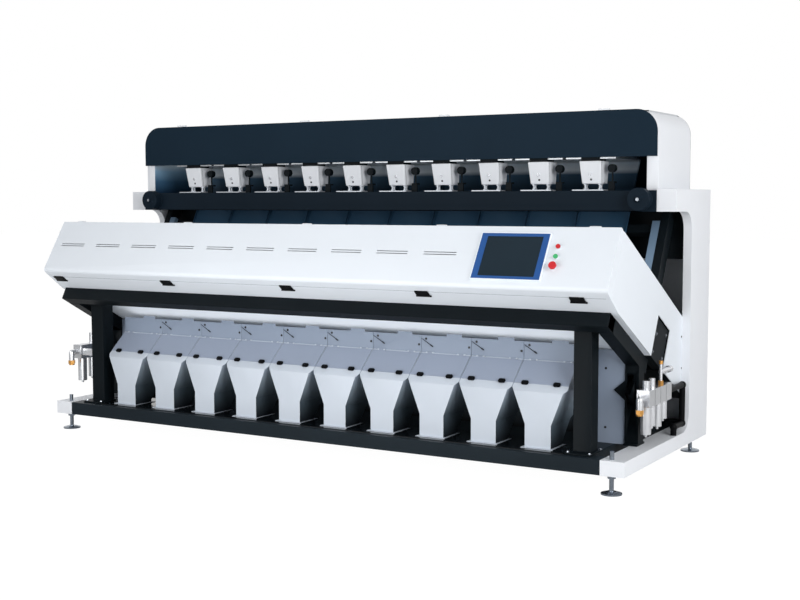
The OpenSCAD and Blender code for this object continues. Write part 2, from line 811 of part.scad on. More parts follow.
// Feed bin under the inlet: two sloping walls, closed at the ends, with a slot above the trays
BIN_RISE = 34;
BIN_SLOT_BACK = 135;
BIN_SLOT = 105;
BIN_T = 4;
module feed_bin() {
    low = tray_z + TRAY_H + BIN_RISE;
    slot = tray_front + BIN_SLOT_BACK;
    front = hood_setback + INLET_RIM;
    rear = hood_setback + hood_d - INLET_RIM;
    top = hood_top - HOOD_SKIN;
    color(STEEL) {
        at(0, 0, 0) along_x(2 * hood_in) {
            polygon([
                [front, top], [slot, low], [slot - BIN_T, low], [front - BIN_T, top]
            ]);
            polygon([
                [rear, top], [slot + BIN_SLOT, low],
                [slot + BIN_SLOT + BIN_T, low], [rear + BIN_T, top]
            ]);
        }
        for (side = [-1, 1]) at(side * (hood_in - BIN_T / 2), 0, 0) along_x(BIN_T)
            polygon([[front, top], [slot, low], [slot + BIN_SLOT, low], [rear, top]]);
    }
}

// Vibrating feeders

VIB_LEG = 39;
VIB_BACK = 30;
VIB_Z = feeder_top + VIB_LEG;
VIB_FRONT = arm_setback + VIB_BACK;
vib_top = VIB_Z + vib_h;

// White box that tapers towards its foot, with a leaning front and a flat top
module vibrator_boxes() {
    color(WHITE) for (k = [0 : CHUTES - 1]) intersection() {
        at(chute_x(k), VIB_FRONT, VIB_Z) along_x(2 * vib_w)
            polygon([[vib_h * tan(vib_lean), 0], [vib_d, 0], [vib_d, vib_h], [0, vib_h]]);
        at(chute_x(k), VIB_FRONT + vib_d, VIB_Z) rotate([90, 0, 0]) linear_extrude(vib_d) polygon([
            [-vib_foot_w / 2, 0], [vib_foot_w / 2, 0], [vib_w / 2, vib_h], [-vib_w / 2, vib_h]
        ]);
    }
}

// Base plate with threaded legs and nuts under each box
VIB_PLATE_W = 188;
VIB_PLATE_T = 6;
VIB_STUD_R = 6;
VIB_NUT_R = 11;
VIB_NUT_H = 7;
VIB_STUD_AT = 44;
VIB_STUD_BACK = 46;
VIB_STUD_ROW = 22;
vib_stud_y = VIB_FRONT + VIB_STUD_BACK;
module vibrator_bases() {
    color(GREY) for (k = [0 : CHUTES - 1]) {
        x = chute_x(k);
        slab(x, VIB_PLATE_W, arm_setback, arm_setback + beam_d, feeder_top, feeder_top + VIB_PLATE_T);
        for (side = [-1, 1], y = [vib_stud_y, vib_stud_y + VIB_STUD_ROW])
            at(x + side * VIB_STUD_AT, y, feeder_top) {
            cylinder(r = VIB_STUD_R, h = VIB_LEG);
            translate([0, 0, VIB_PLATE_T - 1]) cylinder(r = VIB_NUT_R, h = VIB_NUT_H + 1, $fn = 6);
            translate([0, 0, VIB_LEG - VIB_NUT_H]) cylinder(r = VIB_NUT_R, h = VIB_NUT_H, $fn = 6);
        }
    }
}

// Bracket with a rod and a round knob, beside a feeder box
module clamp(x) {
    slab(x, CLAMP_W, clamp_y, clamp_y + CLAMP_D / 3, feeder_top, feeder_top + CLAMP_H);
    slab(x, CLAMP_W, clamp_y, clamp_y + CLAMP_D, feeder_top + CLAMP_H - CLAMP_D / 4, feeder_top + CLAMP_H);
    at(x, clamp_y + CLAMP_D / 2, feeder_top + CLAMP_H - 1)
        cylinder(r = CLAMP_ROD_R, h = CLAMP_KNOB_RISE - CLAMP_H);
    at(x, clamp_y, feeder_top + CLAMP_KNOB_RISE) rotate([-90, 0, 0])
        cylinder(r = CLAMP_KNOB_R, h = CLAMP_KNOB_L);
}

// Dark drive plate on each box, and the clamp beside it
TRAY_BACK = 13;
TRAY_RISE = 12;
tray_front = VIB_FRONT + TRAY_BACK;
tray_z = vib_top + TRAY_RISE;
DRIVE_W = 110;
DRIVE_D = 100;
DRIVE_T = 6;
DRIVE_RISE = 20;
CLAMP_AT = 114;
CLAMP_W = 36;
CLAMP_D = 40;
CLAMP_H = 52;
CLAMP_ROD_R = 5;
CLAMP_KNOB_R = 23;
CLAMP_KNOB_RISE = 126;
CLAMP_KNOB_L = 34;
CLAMP_BACK = 40;
clamp_y = VIB_FRONT + CLAMP_BACK;
module vibrator_arms() {
    color(BLACK) for (k = [0 : CHUTES - 1]) {
        x = chute_x(k);
        front = tray_front - 4 * slip_gap - DRIVE_T;
        slab(x, DRIVE_W, front, front + DRIVE_D, vib_top, tray_z - slip_gap);
        slab(x, DRIVE_W, front, front + DRIVE_T, vib_top, tray_z + DRIVE_RISE);
        clamp(x + CLAMP_AT);
    }
}

// Feed trays: open channels that end above the chutes
TRAY_L = 350;
TRAY_H = 46;
TRAY_T = 3;
TRAY_GAP = 20;
module feeder_trays() {
    w = pitch - TRAY_GAP;
    color(STEEL) for (k = [0 : CHUTES - 1]) difference() {
        slab(chute_x(k), w, tray_front, tray_front + TRAY_L, tray_z, tray_z + TRAY_H);
        slab(chute_x(k), w - 2 * TRAY_T, tray_front + TRAY_T, tray_front + TRAY_L + 1,
            tray_z + TRAY_T, tray_z + TRAY_H + 1);
    }
}

// Front cover

HINGE_INSET = 192;
hinge_end = outer_x - HINGE_INSET;
HINGES = [for (i = [-2 : 2]) i * hinge_end / 2];
HINGE_PIN_R = 3;
BARREL_L = 30;
KNUCKLE_L = 15;
LEAF_L = 34;
module cover_outline(t) {
    chin = [-seam_reach, chin_height(seam_reach)];
    crown = [-top_reach, box_h];
    polygon(concat(
        [chin + t * [sin(chin_drop), cos(chin_drop)]],
        arc(bend_center, bend_r - t, -chin_drop - 90, -chin_drop + 2 * bend_half - 270),
        [crown + t * [1, -1], [-seam_reach + t, box_h - t]]
    ));
}
SCREEN_DROP = 182;
BEZEL_T = 10;
SCREEN_SUNK = 3;
BEZEL_RIM_X = 35;
BEZEL_RIM_Y = 18;
STEM_R = 5;
EMERGENCY_STEM_R = 7;
RING_T = 3;
RING_H = 7;
SLOT_DROP = 170;
SLOT_GAP = 14;
SLOT_INSET = 211;
SLOT_FIRST = -outer_x + SLOT_INSET;
SLOT_FREE = 226.5;
slot_pitch = (screen_x - bezel_w / 2 - SLOT_FREE - SLOT_FIRST) / (CHUTES - 1);
module button_at(i) {
    on_face() translate([button_x, -button_drop - i * button_step, 0]) children();
}
module front_cover() {
    color(WHITE) {
        difference() {
            union() {
                in_box() difference() {
                    along_x(2 * box_half) cover_outline(0);
                    along_x(2 * (box_half - sheet_t)) cover_outline(sheet_t);
                    translate([-2 * box_half, top_front - seam_gap, box_h / 2])
                        cube([4 * box_half, box_h, 3 * box_h]);
                }
                in_box() cover_cheeks();
                for (x = HINGES) in_box() translate([x, hinge_u, hinge_v]) rotate([0, 90, 0])
                    cylinder(r = HINGE_R, h = BARREL_L - 2 * slip_gap, center = true);
                for (i = [0 : 1]) button_at(i) cylinder(r = cap_r + slip_gap + RING_T, h = RING_H);
                button_at(2) cylinder(r = cap_r + RING_T, h = RING_H);
            }
            for (x = HINGES) in_box() translate([x, hinge_u, hinge_v]) rotate([0, 90, 0])
                cylinder(r = HINGE_PIN_R + run_gap, h = 2 * BARREL_L, center = true);
            for (x = HINGES, side = [-1, 1]) in_box()
                translate([x + side * (BARREL_L + KNUCKLE_L) / 2, hinge_u, hinge_v])
                cube([KNUCKLE_L + 2 * slip_gap, 2 * (HINGE_R + slip_gap), 4 * HINGE_R], center = true);
            for (i = [0 : CHUTES - 1], j = [-1, 1]) on_face()
                translate([SLOT_FIRST + i * slot_pitch, -SLOT_DROP + j * SLOT_GAP / 2, 0])
                cube([slot_l, slot_h, 8 * sheet_t], center = true);
            for (i = [0 : 1]) button_at(i) {
                cylinder(r = STEM_R + run_gap, h = 8 * sheet_t, center = true);
                translate([0, 0, sheet_t / 3]) cylinder(r = cap_r + slip_gap, h = 2 * RING_H);
            }
            button_at(2) cylinder(r = EMERGENCY_STEM_R + run_gap, h = 8 * RING_H, center = true);
        }
    }
}

// Cheeks that close the ends of the cover back to the seam
module cover_cheeks() {
    for (side = [-1, 1]) translate([side * (box_half - sheet_t / 2), 0, 0]) along_x(sheet_t) intersection() {
        cover_outline(0);
        translate([-2 * box_h, 0]) square([2 * box_h - seam_reach, box_h - sheet_t]);
    }
}

// Fixed half of the cover hinges: leaf, outer knuckles and pin
module hinge_pins() {
    color(WHITE) in_box() for (x = HINGES) translate([x, hinge_u, hinge_v]) {
        rotate([0, 90, 0]) cylinder(r = HINGE_PIN_R, h = BARREL_L + 2 * KNUCKLE_L, center = true);
        for (side = [-1, 1]) translate([side * (BARREL_L + KNUCKLE_L) / 2, 0, 0]) {
            rotate([0, 90, 0]) cylinder(r = HINGE_R - slip_gap, h = KNUCKLE_L, center = true);
            translate([-KNUCKLE_L / 2, 0, -HINGE_RISE]) cube([KNUCKLE_L, LEAF_L, HINGE_RISE]);
        }
    }
}

// Touch screen
module screen_bezel() {
    color([0.16, 0.33, 0.6]) on_face() translate([screen_x, -SCREEN_DROP, seat_gap])
        linear_extrude(BEZEL_T) difference() {
        square([bezel_w, bezel_h], center = true);
        square([bezel_w - 2 * BEZEL_RIM_X, bezel_h - 2 * BEZEL_RIM_Y], center = true);
    }
}
module touch_screen() {
    color([0.17, 0.22, 0.24]) on_face() translate([screen_x, -SCREEN_DROP, seat_gap])
        linear_extrude(BEZEL_T - SCREEN_SUNK)
        square([bezel_w - 2 * BEZEL_RIM_X, bezel_h - 2 * BEZEL_RIM_Y], center = true);
}

// Push buttons
BUTTON_TRAVEL = 4;
CAP_H = 8;
STEM_L = 16;
module push_button(i, shade) {
    color(shade) button_at(i) {
        translate([0, 0, BUTTON_TRAVEL + 1.5]) cylinder(r = cap_r, h = CAP_H);
        translate([0, 0, -STEM_L]) cylinder(r = STEM_R, h = STEM_L + BUTTON_TRAVEL + 2);
    }
}
MUSHROOM_H = 13;
module emergency_button() {
    color("red") button_at(2) {
        translate([0, 0, RING_H + BUTTON_TRAVEL + 1.5]) cylinder(r = mushroom_r, h = MUSHROOM_H);
        translate([0, 0, -STEM_L]) cylinder(r = EMERGENCY_STEM_R, h = STEM_L + RING_H + BUTTON_TRAVEL + 2);
    }
}

// Cover latches: sprung paddles on the fixed chin that hold the cover and swing down about a pin
LATCH_MARGIN = 358;
LATCH_PITCH = (frame_w - LATCH_MARGIN) / (LATCHES - 1);
LATCH_SHIFT = -48;
LATCH_W = 80;
LATCH_LAP = 10;
LATCH_L = 50;
LATCH_T = 7;
LATCH_R = 4;
LATCH_PIN_R = 2;
LATCH_EAR = 6;
function latch_x(i) = LATCH_SHIFT + (i - (LATCHES + 1) / 2) * LATCH_PITCH;
module at_latch(x) {
    on_chin() translate([x, LATCH_L - LATCH_LAP - LATCH_R, LATCH_R + slip_gap]) children();
}
module latch_mounts() {
    color(BLACK) for (i = [1 : LATCHES]) at_latch(latch_x(i)) {
        rotate([0, 90, 0]) cylinder(r = LATCH_PIN_R, h = LATCH_W + 2 * LATCH_EAR, center = true);
        for (side = [-1, 1]) translate([side * (LATCH_W + LATCH_EAR) / 2, 0, 0]) {
            rotate([0, 90, 0]) cylinder(r = LATCH_R, h = LATCH_EAR, center = true);
            translate([-LATCH_EAR / 2, -LATCH_R, -LATCH_R - slip_gap])
                cube([LATCH_EAR, 2 * LATCH_R, LATCH_R + slip_gap]);
        }
    }
}
module cover_latch(i) {
    w = LATCH_W - 2 * slip_gap;
    color(BLACK) at_latch(latch_x(i)) difference() {
        union() {
            rotate([0, 90, 0]) cylinder(r = LATCH_R, h = w, center = true);
            translate([-w / 2, LATCH_R - LATCH_L, -LATCH_R]) cube([w, LATCH_L - LATCH_R, LATCH_T]);
        }
        rotate([0, 90, 0]) cylinder(r = LATCH_PIN_R + run_gap, h = 2 * w, center = true);
    }
}

// Air supply

AIR_UNITS = 4;
AIR_INSET = 42;
AIR_X = outer_x - AIR_INSET;
AIR_Y = 430;
AIR_STEP = 90;
AIR_W = 70;
AIR_GAP = 1.5;
AIR_BODY_LOW = 400;
AIR_BODY_H = 90;
BOWL_R = [29, 21, 25, 23];
BOWL_H = [150, 118, 134, 104];
DRAIN_H = 15;
DRAIN_R = 8;
LEFT_AIR_Y = 195;
LEFT_AIR_Z = 445;
LEFT_CAP_H = 70;
CAP_TWO_R = 17;
CAP_TWO_H = 50;
ELBOW_R = 18;
ELBOW_L = 52;
KNOB_STEM_R = 6;
KNOB_STEM_H = 20;
air_in = AIR_X - AIR_W / 2;
air_top = AIR_BODY_LOW + AIR_BODY_H;
nipple_y = AIR_Y + 2 * AIR_STEP;
NIPPLE_FOOT = 26;
NIPPLE_H = 116;
NIPPLE_R = 9;
NIPPLE_CAP = 18;
GAUGE_RISE = 74;
GAUGE_R = 14;
GAUGE_L = 120;
GAUGE_CAP_R = 19;
GAUGE_CAP_L = 34;
AIR_OUT_INSET = 24;
AIR_OUT_X = outer_x - AIR_OUT_INSET;

// Body of one air unit, square on, with a gap to its neighbour
module air_body(x, y, z) {
    slab(x, AIR_W, y - AIR_STEP / 2, y + AIR_STEP / 2, z, z + AIR_BODY_H);
}

// Right bank of units on a plate beside the second post, and a single unit at the left
module air_units() {
    color([0.82, 0.83, 0.85]) {
        difference() {
            for (i = [0 : AIR_UNITS - 1]) air_body(AIR_X, AIR_Y + i * AIR_STEP, AIR_BODY_LOW);
            for (i = [1 : AIR_UNITS - 1])
                slab(AIR_X + AIR_W / 2, 2 * AIR_GAP, AIR_Y + (i - 0.5) * AIR_STEP - AIR_GAP,
                    AIR_Y + (i - 0.5) * AIR_STEP + AIR_GAP, AIR_BODY_LOW - 1, air_top + 1);
            at(AIR_X, AIR_Y, air_top - KNOB_STEM_H) cylinder(r = KNOB_STEM_R + run_gap, h = 2 * KNOB_STEM_H);
        }
        slab((LEG_OUT + air_in) / 2, air_in - LEG_OUT, LEG_SETBACK, LEG_SETBACK + LEG_D,
            AIR_BODY_LOW + 10, air_top - 10);
        at(AIR_X, AIR_Y + AIR_STEP, air_top - 1) cylinder(r = CAP_TWO_R, h = CAP_TWO_H + 1);
        for (i = [0, 1]) air_body(-AIR_X, LEFT_AIR_Y + i * AIR_STEP, LEFT_AIR_Z);
        at(-AIR_X, LEFT_AIR_Y + AIR_STEP, LEFT_AIR_Z + AIR_BODY_H - 1)
            cylinder(r = CAP_TWO_R, h = LEFT_CAP_H + 1);
        slab(-(POST_IN + POST_W + air_in) / 2, air_in - POST_IN - POST_W, LEFT_AIR_Y - AIR_STEP / 3,
            POST_SETBACK + POST_D, LEFT_AIR_Z + AIR_BODY_H / 4, LEFT_AIR_Z + 3 * AIR_BODY_H / 4);
        at(AIR_X, AIR_Y - AIR_STEP / 2, AIR_BODY_LOW + AIR_BODY_H / 2) elbow();
        at(-AIR_X, LEFT_AIR_Y - AIR_STEP / 2, LEFT_AIR_Z + AIR_BODY_H / 2) elbow();
        pressure_switch();
    }
}

// Silver elbow that turns down in front of a unit
module elbow() {
    rotate([90, 0, 0]) cylinder(r = ELBOW_R, h = ELBOW_L);
    translate([0, -ELBOW_L, 0]) sphere(ELBOW_R);
    translate([0, -ELBOW_L, -ELBOW_L]) cylinder(r = ELBOW_R, h = ELBOW_L);
}

// Riser with a pressure switch across it
module pressure_switch() {
    at(AIR_OUT_X, nipple_y, air_top + NIPPLE_FOOT) cylinder(r = NIPPLE_R, h = NIPPLE_H - NIPPLE_FOOT);
    at(AIR_OUT_X, nipple_y, air_top + GAUGE_RISE) rotate([-90, 0, 0]) {
        cylinder(r = GAUGE_R, h = GAUGE_L);
        translate([0, 0, GAUGE_L - 1]) cylinder(r = GAUGE_CAP_R, h = GAUGE_CAP_L);
    }
}
module bowl(i) {
    translate([0, 0, -BOWL_H[i]]) cylinder(r = BOWL_R[i], h = BOWL_H[i]);
    translate([0, 0, -BOWL_H[i] - DRAIN_H]) cylinder(r = DRAIN_R, h = DRAIN_H);
}
module air_bowls() {
    color([0.85, 0.86, 0.88]) {
        for (i = [0 : AIR_UNITS - 1]) at(AIR_X, AIR_Y + i * AIR_STEP, AIR_BODY_LOW) bowl(i);
        for (i = [0, 1]) at(-AIR_X, LEFT_AIR_Y + i * AIR_STEP, LEFT_AIR_Z) bowl(2 * i);
    }
}

// Brass union nuts of both elbows, and the foot and the cap of the riser
NUT_R = 23;
UNION_H = 22;
module union_nut() {
    translate([0, -ELBOW_L, -ELBOW_L - UNION_H]) cylinder(r = NUT_R, h = UNION_H, $fn = 6);
    translate([0, -ELBOW_L, -ELBOW_L - 1.4 * UNION_H]) cylinder(r = ELBOW_R, h = UNION_H);
}
module air_fittings() {
    color(BRASS) {
        at(AIR_X, AIR_Y - AIR_STEP / 2, AIR_BODY_LOW + AIR_BODY_H / 2) union_nut();
        at(-AIR_X, LEFT_AIR_Y - AIR_STEP / 2, LEFT_AIR_Z + AIR_BODY_H / 2) union_nut();
        at(AIR_OUT_X, nipple_y, air_top) {
            cylinder(r = 1.7 * NIPPLE_R, h = NIPPLE_FOOT, $fn = 6);
            translate([0, 0, NIPPLE_H]) cylinder(r = 1.3 * NIPPLE_R, h = NIPPLE_CAP);
        }
    }
}

// Black pipe from the last unit back along the side and down to the base
PIPE_R = 17;
PIPE_FREE = 52;
pipe_y = base_d - column_d - PIPE_FREE;
PIPE_LOW = 226;
BRANCH_L = 145;
module air_pipes() {
    start = AIR_Y + (AIR_UNITS - 0.5) * AIR_STEP;
    z = AIR_BODY_LOW + AIR_BODY_H / 2;
    color(BLACK) {
        at(AIR_OUT_X, start, z) rotate([-90, 0, 0]) cylinder(r = PIPE_R, h = pipe_y - start);
        for (p = [[pipe_y, z], [pipe_y, PIPE_LOW], [pipe_y - BRANCH_L, PIPE_LOW]])
            at(AIR_OUT_X, p[0], p[1]) sphere(1.25 * PIPE_R);
        at(AIR_OUT_X, pipe_y, PIPE_LOW) cylinder(r = PIPE_R, h = z - PIPE_LOW);
        at(AIR_OUT_X, pipe_y, PIPE_LOW) rotate([90, 0, 0]) cylinder(r = PIPE_R, h = BRANCH_L);
        at(AIR_OUT_X, pipe_y - BRANCH_L, rail_top) cylinder(r = PIPE_R, h = PIPE_LOW - rail_top);
    }
}

// Regulator knob on the first right unit, turning on its stem
KNOB_R = 20;
KNOB_H = 46;
module regulator_knob() {
    color(BLACK) at(AIR_X, AIR_Y, air_top) {
        translate([0, 0, slip_gap]) cylinder(r = KNOB_R, h = KNOB_H);
        translate([0, 0, slip_gap - KNOB_STEM_H]) cylinder(r = KNOB_STEM_R, h = KNOB_STEM_H + 1);
    }
}

// Control cabinet across the rear, between the columns, with the ribbed back sheet under it
BACK_T = 3;
BACK_RIB = 30;
BACK_RIB_AT = 0.4;
CABINET_GAP = 15;
CABINET_SETBACK = 20;
CABINET_LOW = 1150;
module rear_cabinet() {
    top = column_top - arm_h;
    front = depth_at(ARM_FRONT + ARM_D, top) + CABINET_GAP;
    rear = base_d - CABINET_SETBACK;
    color(BLACK) {
        slab(0, 2 * (panel_in - seat_gap), front, rear, CABINET_LOW, top);
        slab(0, 2 * (panel_in - seat_gap), rear - BACK_T, rear, rail_top, CABINET_LOW + 1);
        for (i = [-2 : 2])
            slab(i * BACK_RIB_AT * panel_in, BACK_RIB, rear - BACK_RIB, rear, rail_top, CABINET_LOW + 1);
    }
}

base_front_beam();
base_members();
side_frame(-1);  // left_side_frame
side_frame(1);  // right_side_frame
foot_studs();
foot_pads();
front_posts();
side_legs();
box_beam();
feeder_beam();
hood_shell();
hood_panels();
feed_bin();
end_panels();
box_floor();
box_top();
window_glasses();
optics_frames();
led_bars();
line_cameras();
rear_box();
ejector_bar();
chutes();
chute_arms();
chute_rails();
hoppers();
deck_plate();
vibrator_boxes();
vibrator_bases();
vibrator_arms();
hinge_pins();
air_units();
air_bowls();
air_fittings();
air_pipes();
latch_mounts();
rear_cabinet();
front_cover();
screen_bezel();
touch_screen();
push_button(0, "red");  // stop_button
push_button(1, "green");  // start_button
emergency_button();
feeder_trays();
regulator_knob();
for (i = [1 : LATCHES]) cover_latch(i);
for (i = [1 : CHUTES]) hopper_door(i - 1);
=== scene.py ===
"""Looks of a chute type optical colour sorter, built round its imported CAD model.

Lengths in the code are millimetres until they reach a mesh, which is in metres, in the frame of
the CAD model.
"""
from __future__ import annotations

import json
import logging
import math
from dataclasses import dataclass, field
from enum import Enum
from typing import Callable

import bmesh
import bpy
from bpy.types import ID, Material, Mesh, Node, NodeSocket, NodeTree, Object
from mathutils import Matrix, Vector

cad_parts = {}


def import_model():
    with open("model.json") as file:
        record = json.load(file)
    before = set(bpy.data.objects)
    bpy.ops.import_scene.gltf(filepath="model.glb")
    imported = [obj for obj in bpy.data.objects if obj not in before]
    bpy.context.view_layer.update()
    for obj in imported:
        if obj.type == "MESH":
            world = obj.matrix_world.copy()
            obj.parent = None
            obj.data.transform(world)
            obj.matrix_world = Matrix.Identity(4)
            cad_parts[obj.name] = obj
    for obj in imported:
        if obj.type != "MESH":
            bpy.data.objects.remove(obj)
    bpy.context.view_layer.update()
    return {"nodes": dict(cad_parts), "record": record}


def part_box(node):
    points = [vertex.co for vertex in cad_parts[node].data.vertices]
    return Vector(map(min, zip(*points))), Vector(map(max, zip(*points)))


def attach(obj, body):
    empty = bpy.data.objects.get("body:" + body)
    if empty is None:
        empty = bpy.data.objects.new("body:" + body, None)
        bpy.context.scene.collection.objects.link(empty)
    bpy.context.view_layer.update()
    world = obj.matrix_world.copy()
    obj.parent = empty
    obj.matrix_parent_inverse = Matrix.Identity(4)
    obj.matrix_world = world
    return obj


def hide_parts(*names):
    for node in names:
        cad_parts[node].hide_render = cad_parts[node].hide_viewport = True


LOG = logging.getLogger("sorter")
MM = 0.001
CHUTES = 10
PITCH = 320.0
SIDES = (-1, 1)
AHEAD = Vector((0, -1, 0))
CLOUD_SCALE = (2.2, 2.2, 2.2)
CLOUD_DETAIL = 4.0
GRAIN_DETAIL = 3.0
BUMP_DEPTH = 0.0006
GLOSS_SPREAD = 0.06
MOTTLE_FROM, MOTTLE_TO = 0.3, 0.7
BEVEL_STEPS = 2
CORNER_STEPS = 5
ROD_SHARP, CATCH_SHARP = 40.0, 50.0
DOOR_EDGE, DOOR_LEVEL, LATCH_EDGE = 0.8, 8.6, 1.2

Colour = tuple[int, int, int]
Triple = tuple[float, float, float]
Pair = tuple[float, float]
Inputs = dict[str | int, object]
Spots = list[tuple[Vector, Vector]]
Chosen = Callable[[Vector, Vector], bool]


class Body(str, Enum):
    """Bodies of the CAD model that the added pieces ride on."""

    FRAME = "frame"
    COVER = "cover"


class Grain(Enum):
    """Surface pattern of a finish, by its scale along each axis."""

    ORANGE_PEEL = (420.0, 420.0, 420.0)
    BRUSHED = (12.0, 520.0, 520.0)
    CAST = (190.0, 190.0, 190.0)
    SMOOTH = (60.0, 60.0, 60.0)


def to_linear(value: float) -> float:
    """Turn one sRGB channel into linear light."""
    return value / 12.92 if value <= 0.04045 else ((value + 0.055) / 1.055) ** 2.4


def linear(rgb: Colour, gain: float = 1.0) -> tuple[float, float, float, float]:
    """Turn an sRGB colour into linear light, made lighter or darker by a gain.

    Args:
        rgb: Colour, 0 to 255.
        gain: Factor on the light.

    Returns:
        Red, green, blue and alpha.
    """
    r, g, b = (min(1.0, to_linear(c / 255) * gain) for c in rgb)
    return (r, g, b, 1.0)


def chute_x(index: int) -> float:
    """Place along the row of a chute, counted from 0 at the left."""
    return (index - (CHUTES - 1) / 2) * PITCH


def feed(tree: NodeTree, node: Node, inputs: Inputs) -> None:
    """Give inputs of a node their values or links.

    Args:
        tree: Tree of the node.
        node: Node to feed.
        inputs: Value of each input, or the socket that it is linked to.
    """
    for key, value in inputs.items():
        if isinstance(value, NodeSocket):
            tree.links.new(value, node.inputs[key])
        else:
            node.inputs[key].default_value = value


def add(tree: NodeTree, kind: str, inputs: Inputs, **settings: str) -> Node:
    """Add a node to a tree.

    Args:
        tree: Tree to add to.
        kind: Kind of the node.
        inputs: Value of each input, or the socket that it is linked to.
        settings: Settings of the node, which are made first.

    Returns:
        The new node.
    """
    node = tree.nodes.new(kind)
    for name, value in settings.items():
        setattr(node, name, value)
    feed(tree, node, inputs)
    return node


def noise(tree: NodeTree, coords: NodeSocket, scale: Triple, detail: float) -> NodeSocket:
    """Add a noise.

    Args:
        tree: Tree to add to.
        coords: Place on the object.
        scale: Scale along each axis.
        detail: Detail of the noise.

    Returns:
        Socket with the noise.
    """
    mapping = add(tree, "ShaderNodeMapping", {"Scale": scale, "Vector": coords})
    return add(tree, "ShaderNodeTexNoise", {
        "Scale": 1.0, "Detail": detail, "Vector": mapping.outputs["Vector"]}).outputs["Fac"]


@dataclass(frozen=True)
class Finish:
    """A paint, metal or plastic with its colour variation, grain and gloss.

    Args:
        name: Name of the material.
        rgb: Colour in sRGB, 0 to 255.
        roughness: Middle roughness.
        metallic: 1 for bare metal.
        grain: Kind of surface pattern.
        bump: Strength of the pattern.
        mottle: Share by which the colour varies.
        specular: Strength of the reflection at right angles.
    """

    name: str
    rgb: Colour
    roughness: float = 0.45
    metallic: float = 0.0
    grain: Grain = Grain.ORANGE_PEEL
    bump: float = 0.05
    mottle: float = 0.06
    specular: float = 0.5

    def material(self) -> Material:
        """Make the node material, or return it if it is there."""
        known = bpy.data.materials.get(self.name)
        if known:
            return known
        mat = bpy.data.materials.new(self.name)
        mat.use_nodes = True
        tree = mat.node_tree
        coords = add(tree, "ShaderNodeTexCoord", {}).outputs["Object"]
        cloud = noise(tree, coords, CLOUD_SCALE, CLOUD_DETAIL)
        fine = noise(tree, coords, self.grain.value, GRAIN_DETAIL)
        gloss = add(tree, "ShaderNodeMapRange", {
            "Value": fine,
            "To Min": max(0.02, self.roughness - GLOSS_SPREAD),
            "To Max": min(1.0, self.roughness + GLOSS_SPREAD),
        })
        bump = add(tree, "ShaderNodeBump", {
            "Strength": self.bump, "Distance": BUMP_DEPTH, "Height": fine})
        feed(tree, tree.nodes["Principled BSDF"], {
            "Metallic": self.metallic,
            "Specular IOR Level": self.specular,
            "Base Color": self._colour(tree, coords, cloud),
            "Roughness": gloss.outputs["Result"],
            "Normal": bump.outputs["Normal"],
        })
        return mat

    def _colour(self, tree: NodeTree, coords: NodeSocket, cloud: NodeSocket) -> NodeSocket:
        """Add the base colour, which varies softly along a noise."""
        ramp = add(tree, "ShaderNodeValToRGB", {"Fac": cloud})
        dark, light = ramp.color_ramp.elements
        dark.position = MOTTLE_FROM
        dark.color = linear(self.rgb, 1.0 - self.mottle)
        light.position = MOTTLE_TO
        light.color = linear(self.rgb, 1.0 + self.mottle)
        return ramp.outputs["Color"]


@dataclass(frozen=True)
class GradedFinish(Finish):
    """A finish whose colour changes with height.

    Args:
        stops: Heights in millimetres with their sRGB colours, from low to high.
    """

    stops: tuple[tuple[float, Colour], ...] = ()

    def _colour(self, tree: NodeTree, coords: NodeSocket, cloud: NodeSocket) -> NodeSocket:
        """Add the colour from a ramp over the height, which varies softly along a noise."""
        split = add(tree, "ShaderNodeSeparateXYZ", {0: coords})
        low, high = self.stops[0][0] * MM, self.stops[-1][0] * MM
        share = add(tree, "ShaderNodeMapRange", {
            "Value": split.outputs["Z"], "From Min": low, "From Max": high})
        ramp = add(tree, "ShaderNodeValToRGB", {"Fac": share.outputs["Result"]})
        elements = ramp.color_ramp.elements
        while len(elements) < len(self.stops):
            elements.new(0.5)
        for element, (z, _) in zip(elements, self.stops):
            element.position = (z * MM - low) / (high - low)
        for element, (_, rgb) in zip(elements, self.stops):
            element.color = linear(rgb)
        dim = add(tree, "ShaderNodeMapRange", {
            "Value": cloud, "To Min": 1.0 - self.mottle, "To Max": 1.0})
        mix = add(tree, "ShaderNodeVectorMath", {
            0: ramp.outputs["Color"], "Scale": dim.outputs["Result"]}, operation="SCALE")
        return mix.outputs["Vector"]


@dataclass(frozen=True)
class ClearPane:
    """Clear glass of the product windows.

    Args:
        name: Name of the material.
        tint: Colour in linear light.
        ior: Index of refraction.
        smear: Scale of the smears.
        haze: Least and most roughness.
    """

    name: str = "clear_window_pane"
    tint: Triple = (0.75, 0.88, 0.9)
    ior: float = 1.45
    smear: float = 9.0
    haze: Pair = (0.02, 0.07)

    def material(self) -> Material:
        """Make the glass, or return it if it is there."""
        known = bpy.data.materials.get(self.name)
        if known:
            return known
        mat = bpy.data.materials.new(self.name)
        mat.use_nodes = True
        tree = mat.node_tree
        coords = add(tree, "ShaderNodeTexCoord", {}).outputs["Object"]
        smear = add(tree, "ShaderNodeTexNoise", {"Scale": self.smear, "Vector": coords})
        least, most = self.haze
        haze = add(tree, "ShaderNodeMapRange", {
            "Value": smear.outputs["Fac"], "To Min": least, "To Max": most})
        feed(tree, tree.nodes["Principled BSDF"], {
            "Roughness": haze.outputs["Result"],
            "Base Color": (*self.tint, 1.0),
            "Transmission Weight": 1.0,
            "IOR": self.ior,
        })
        return mat


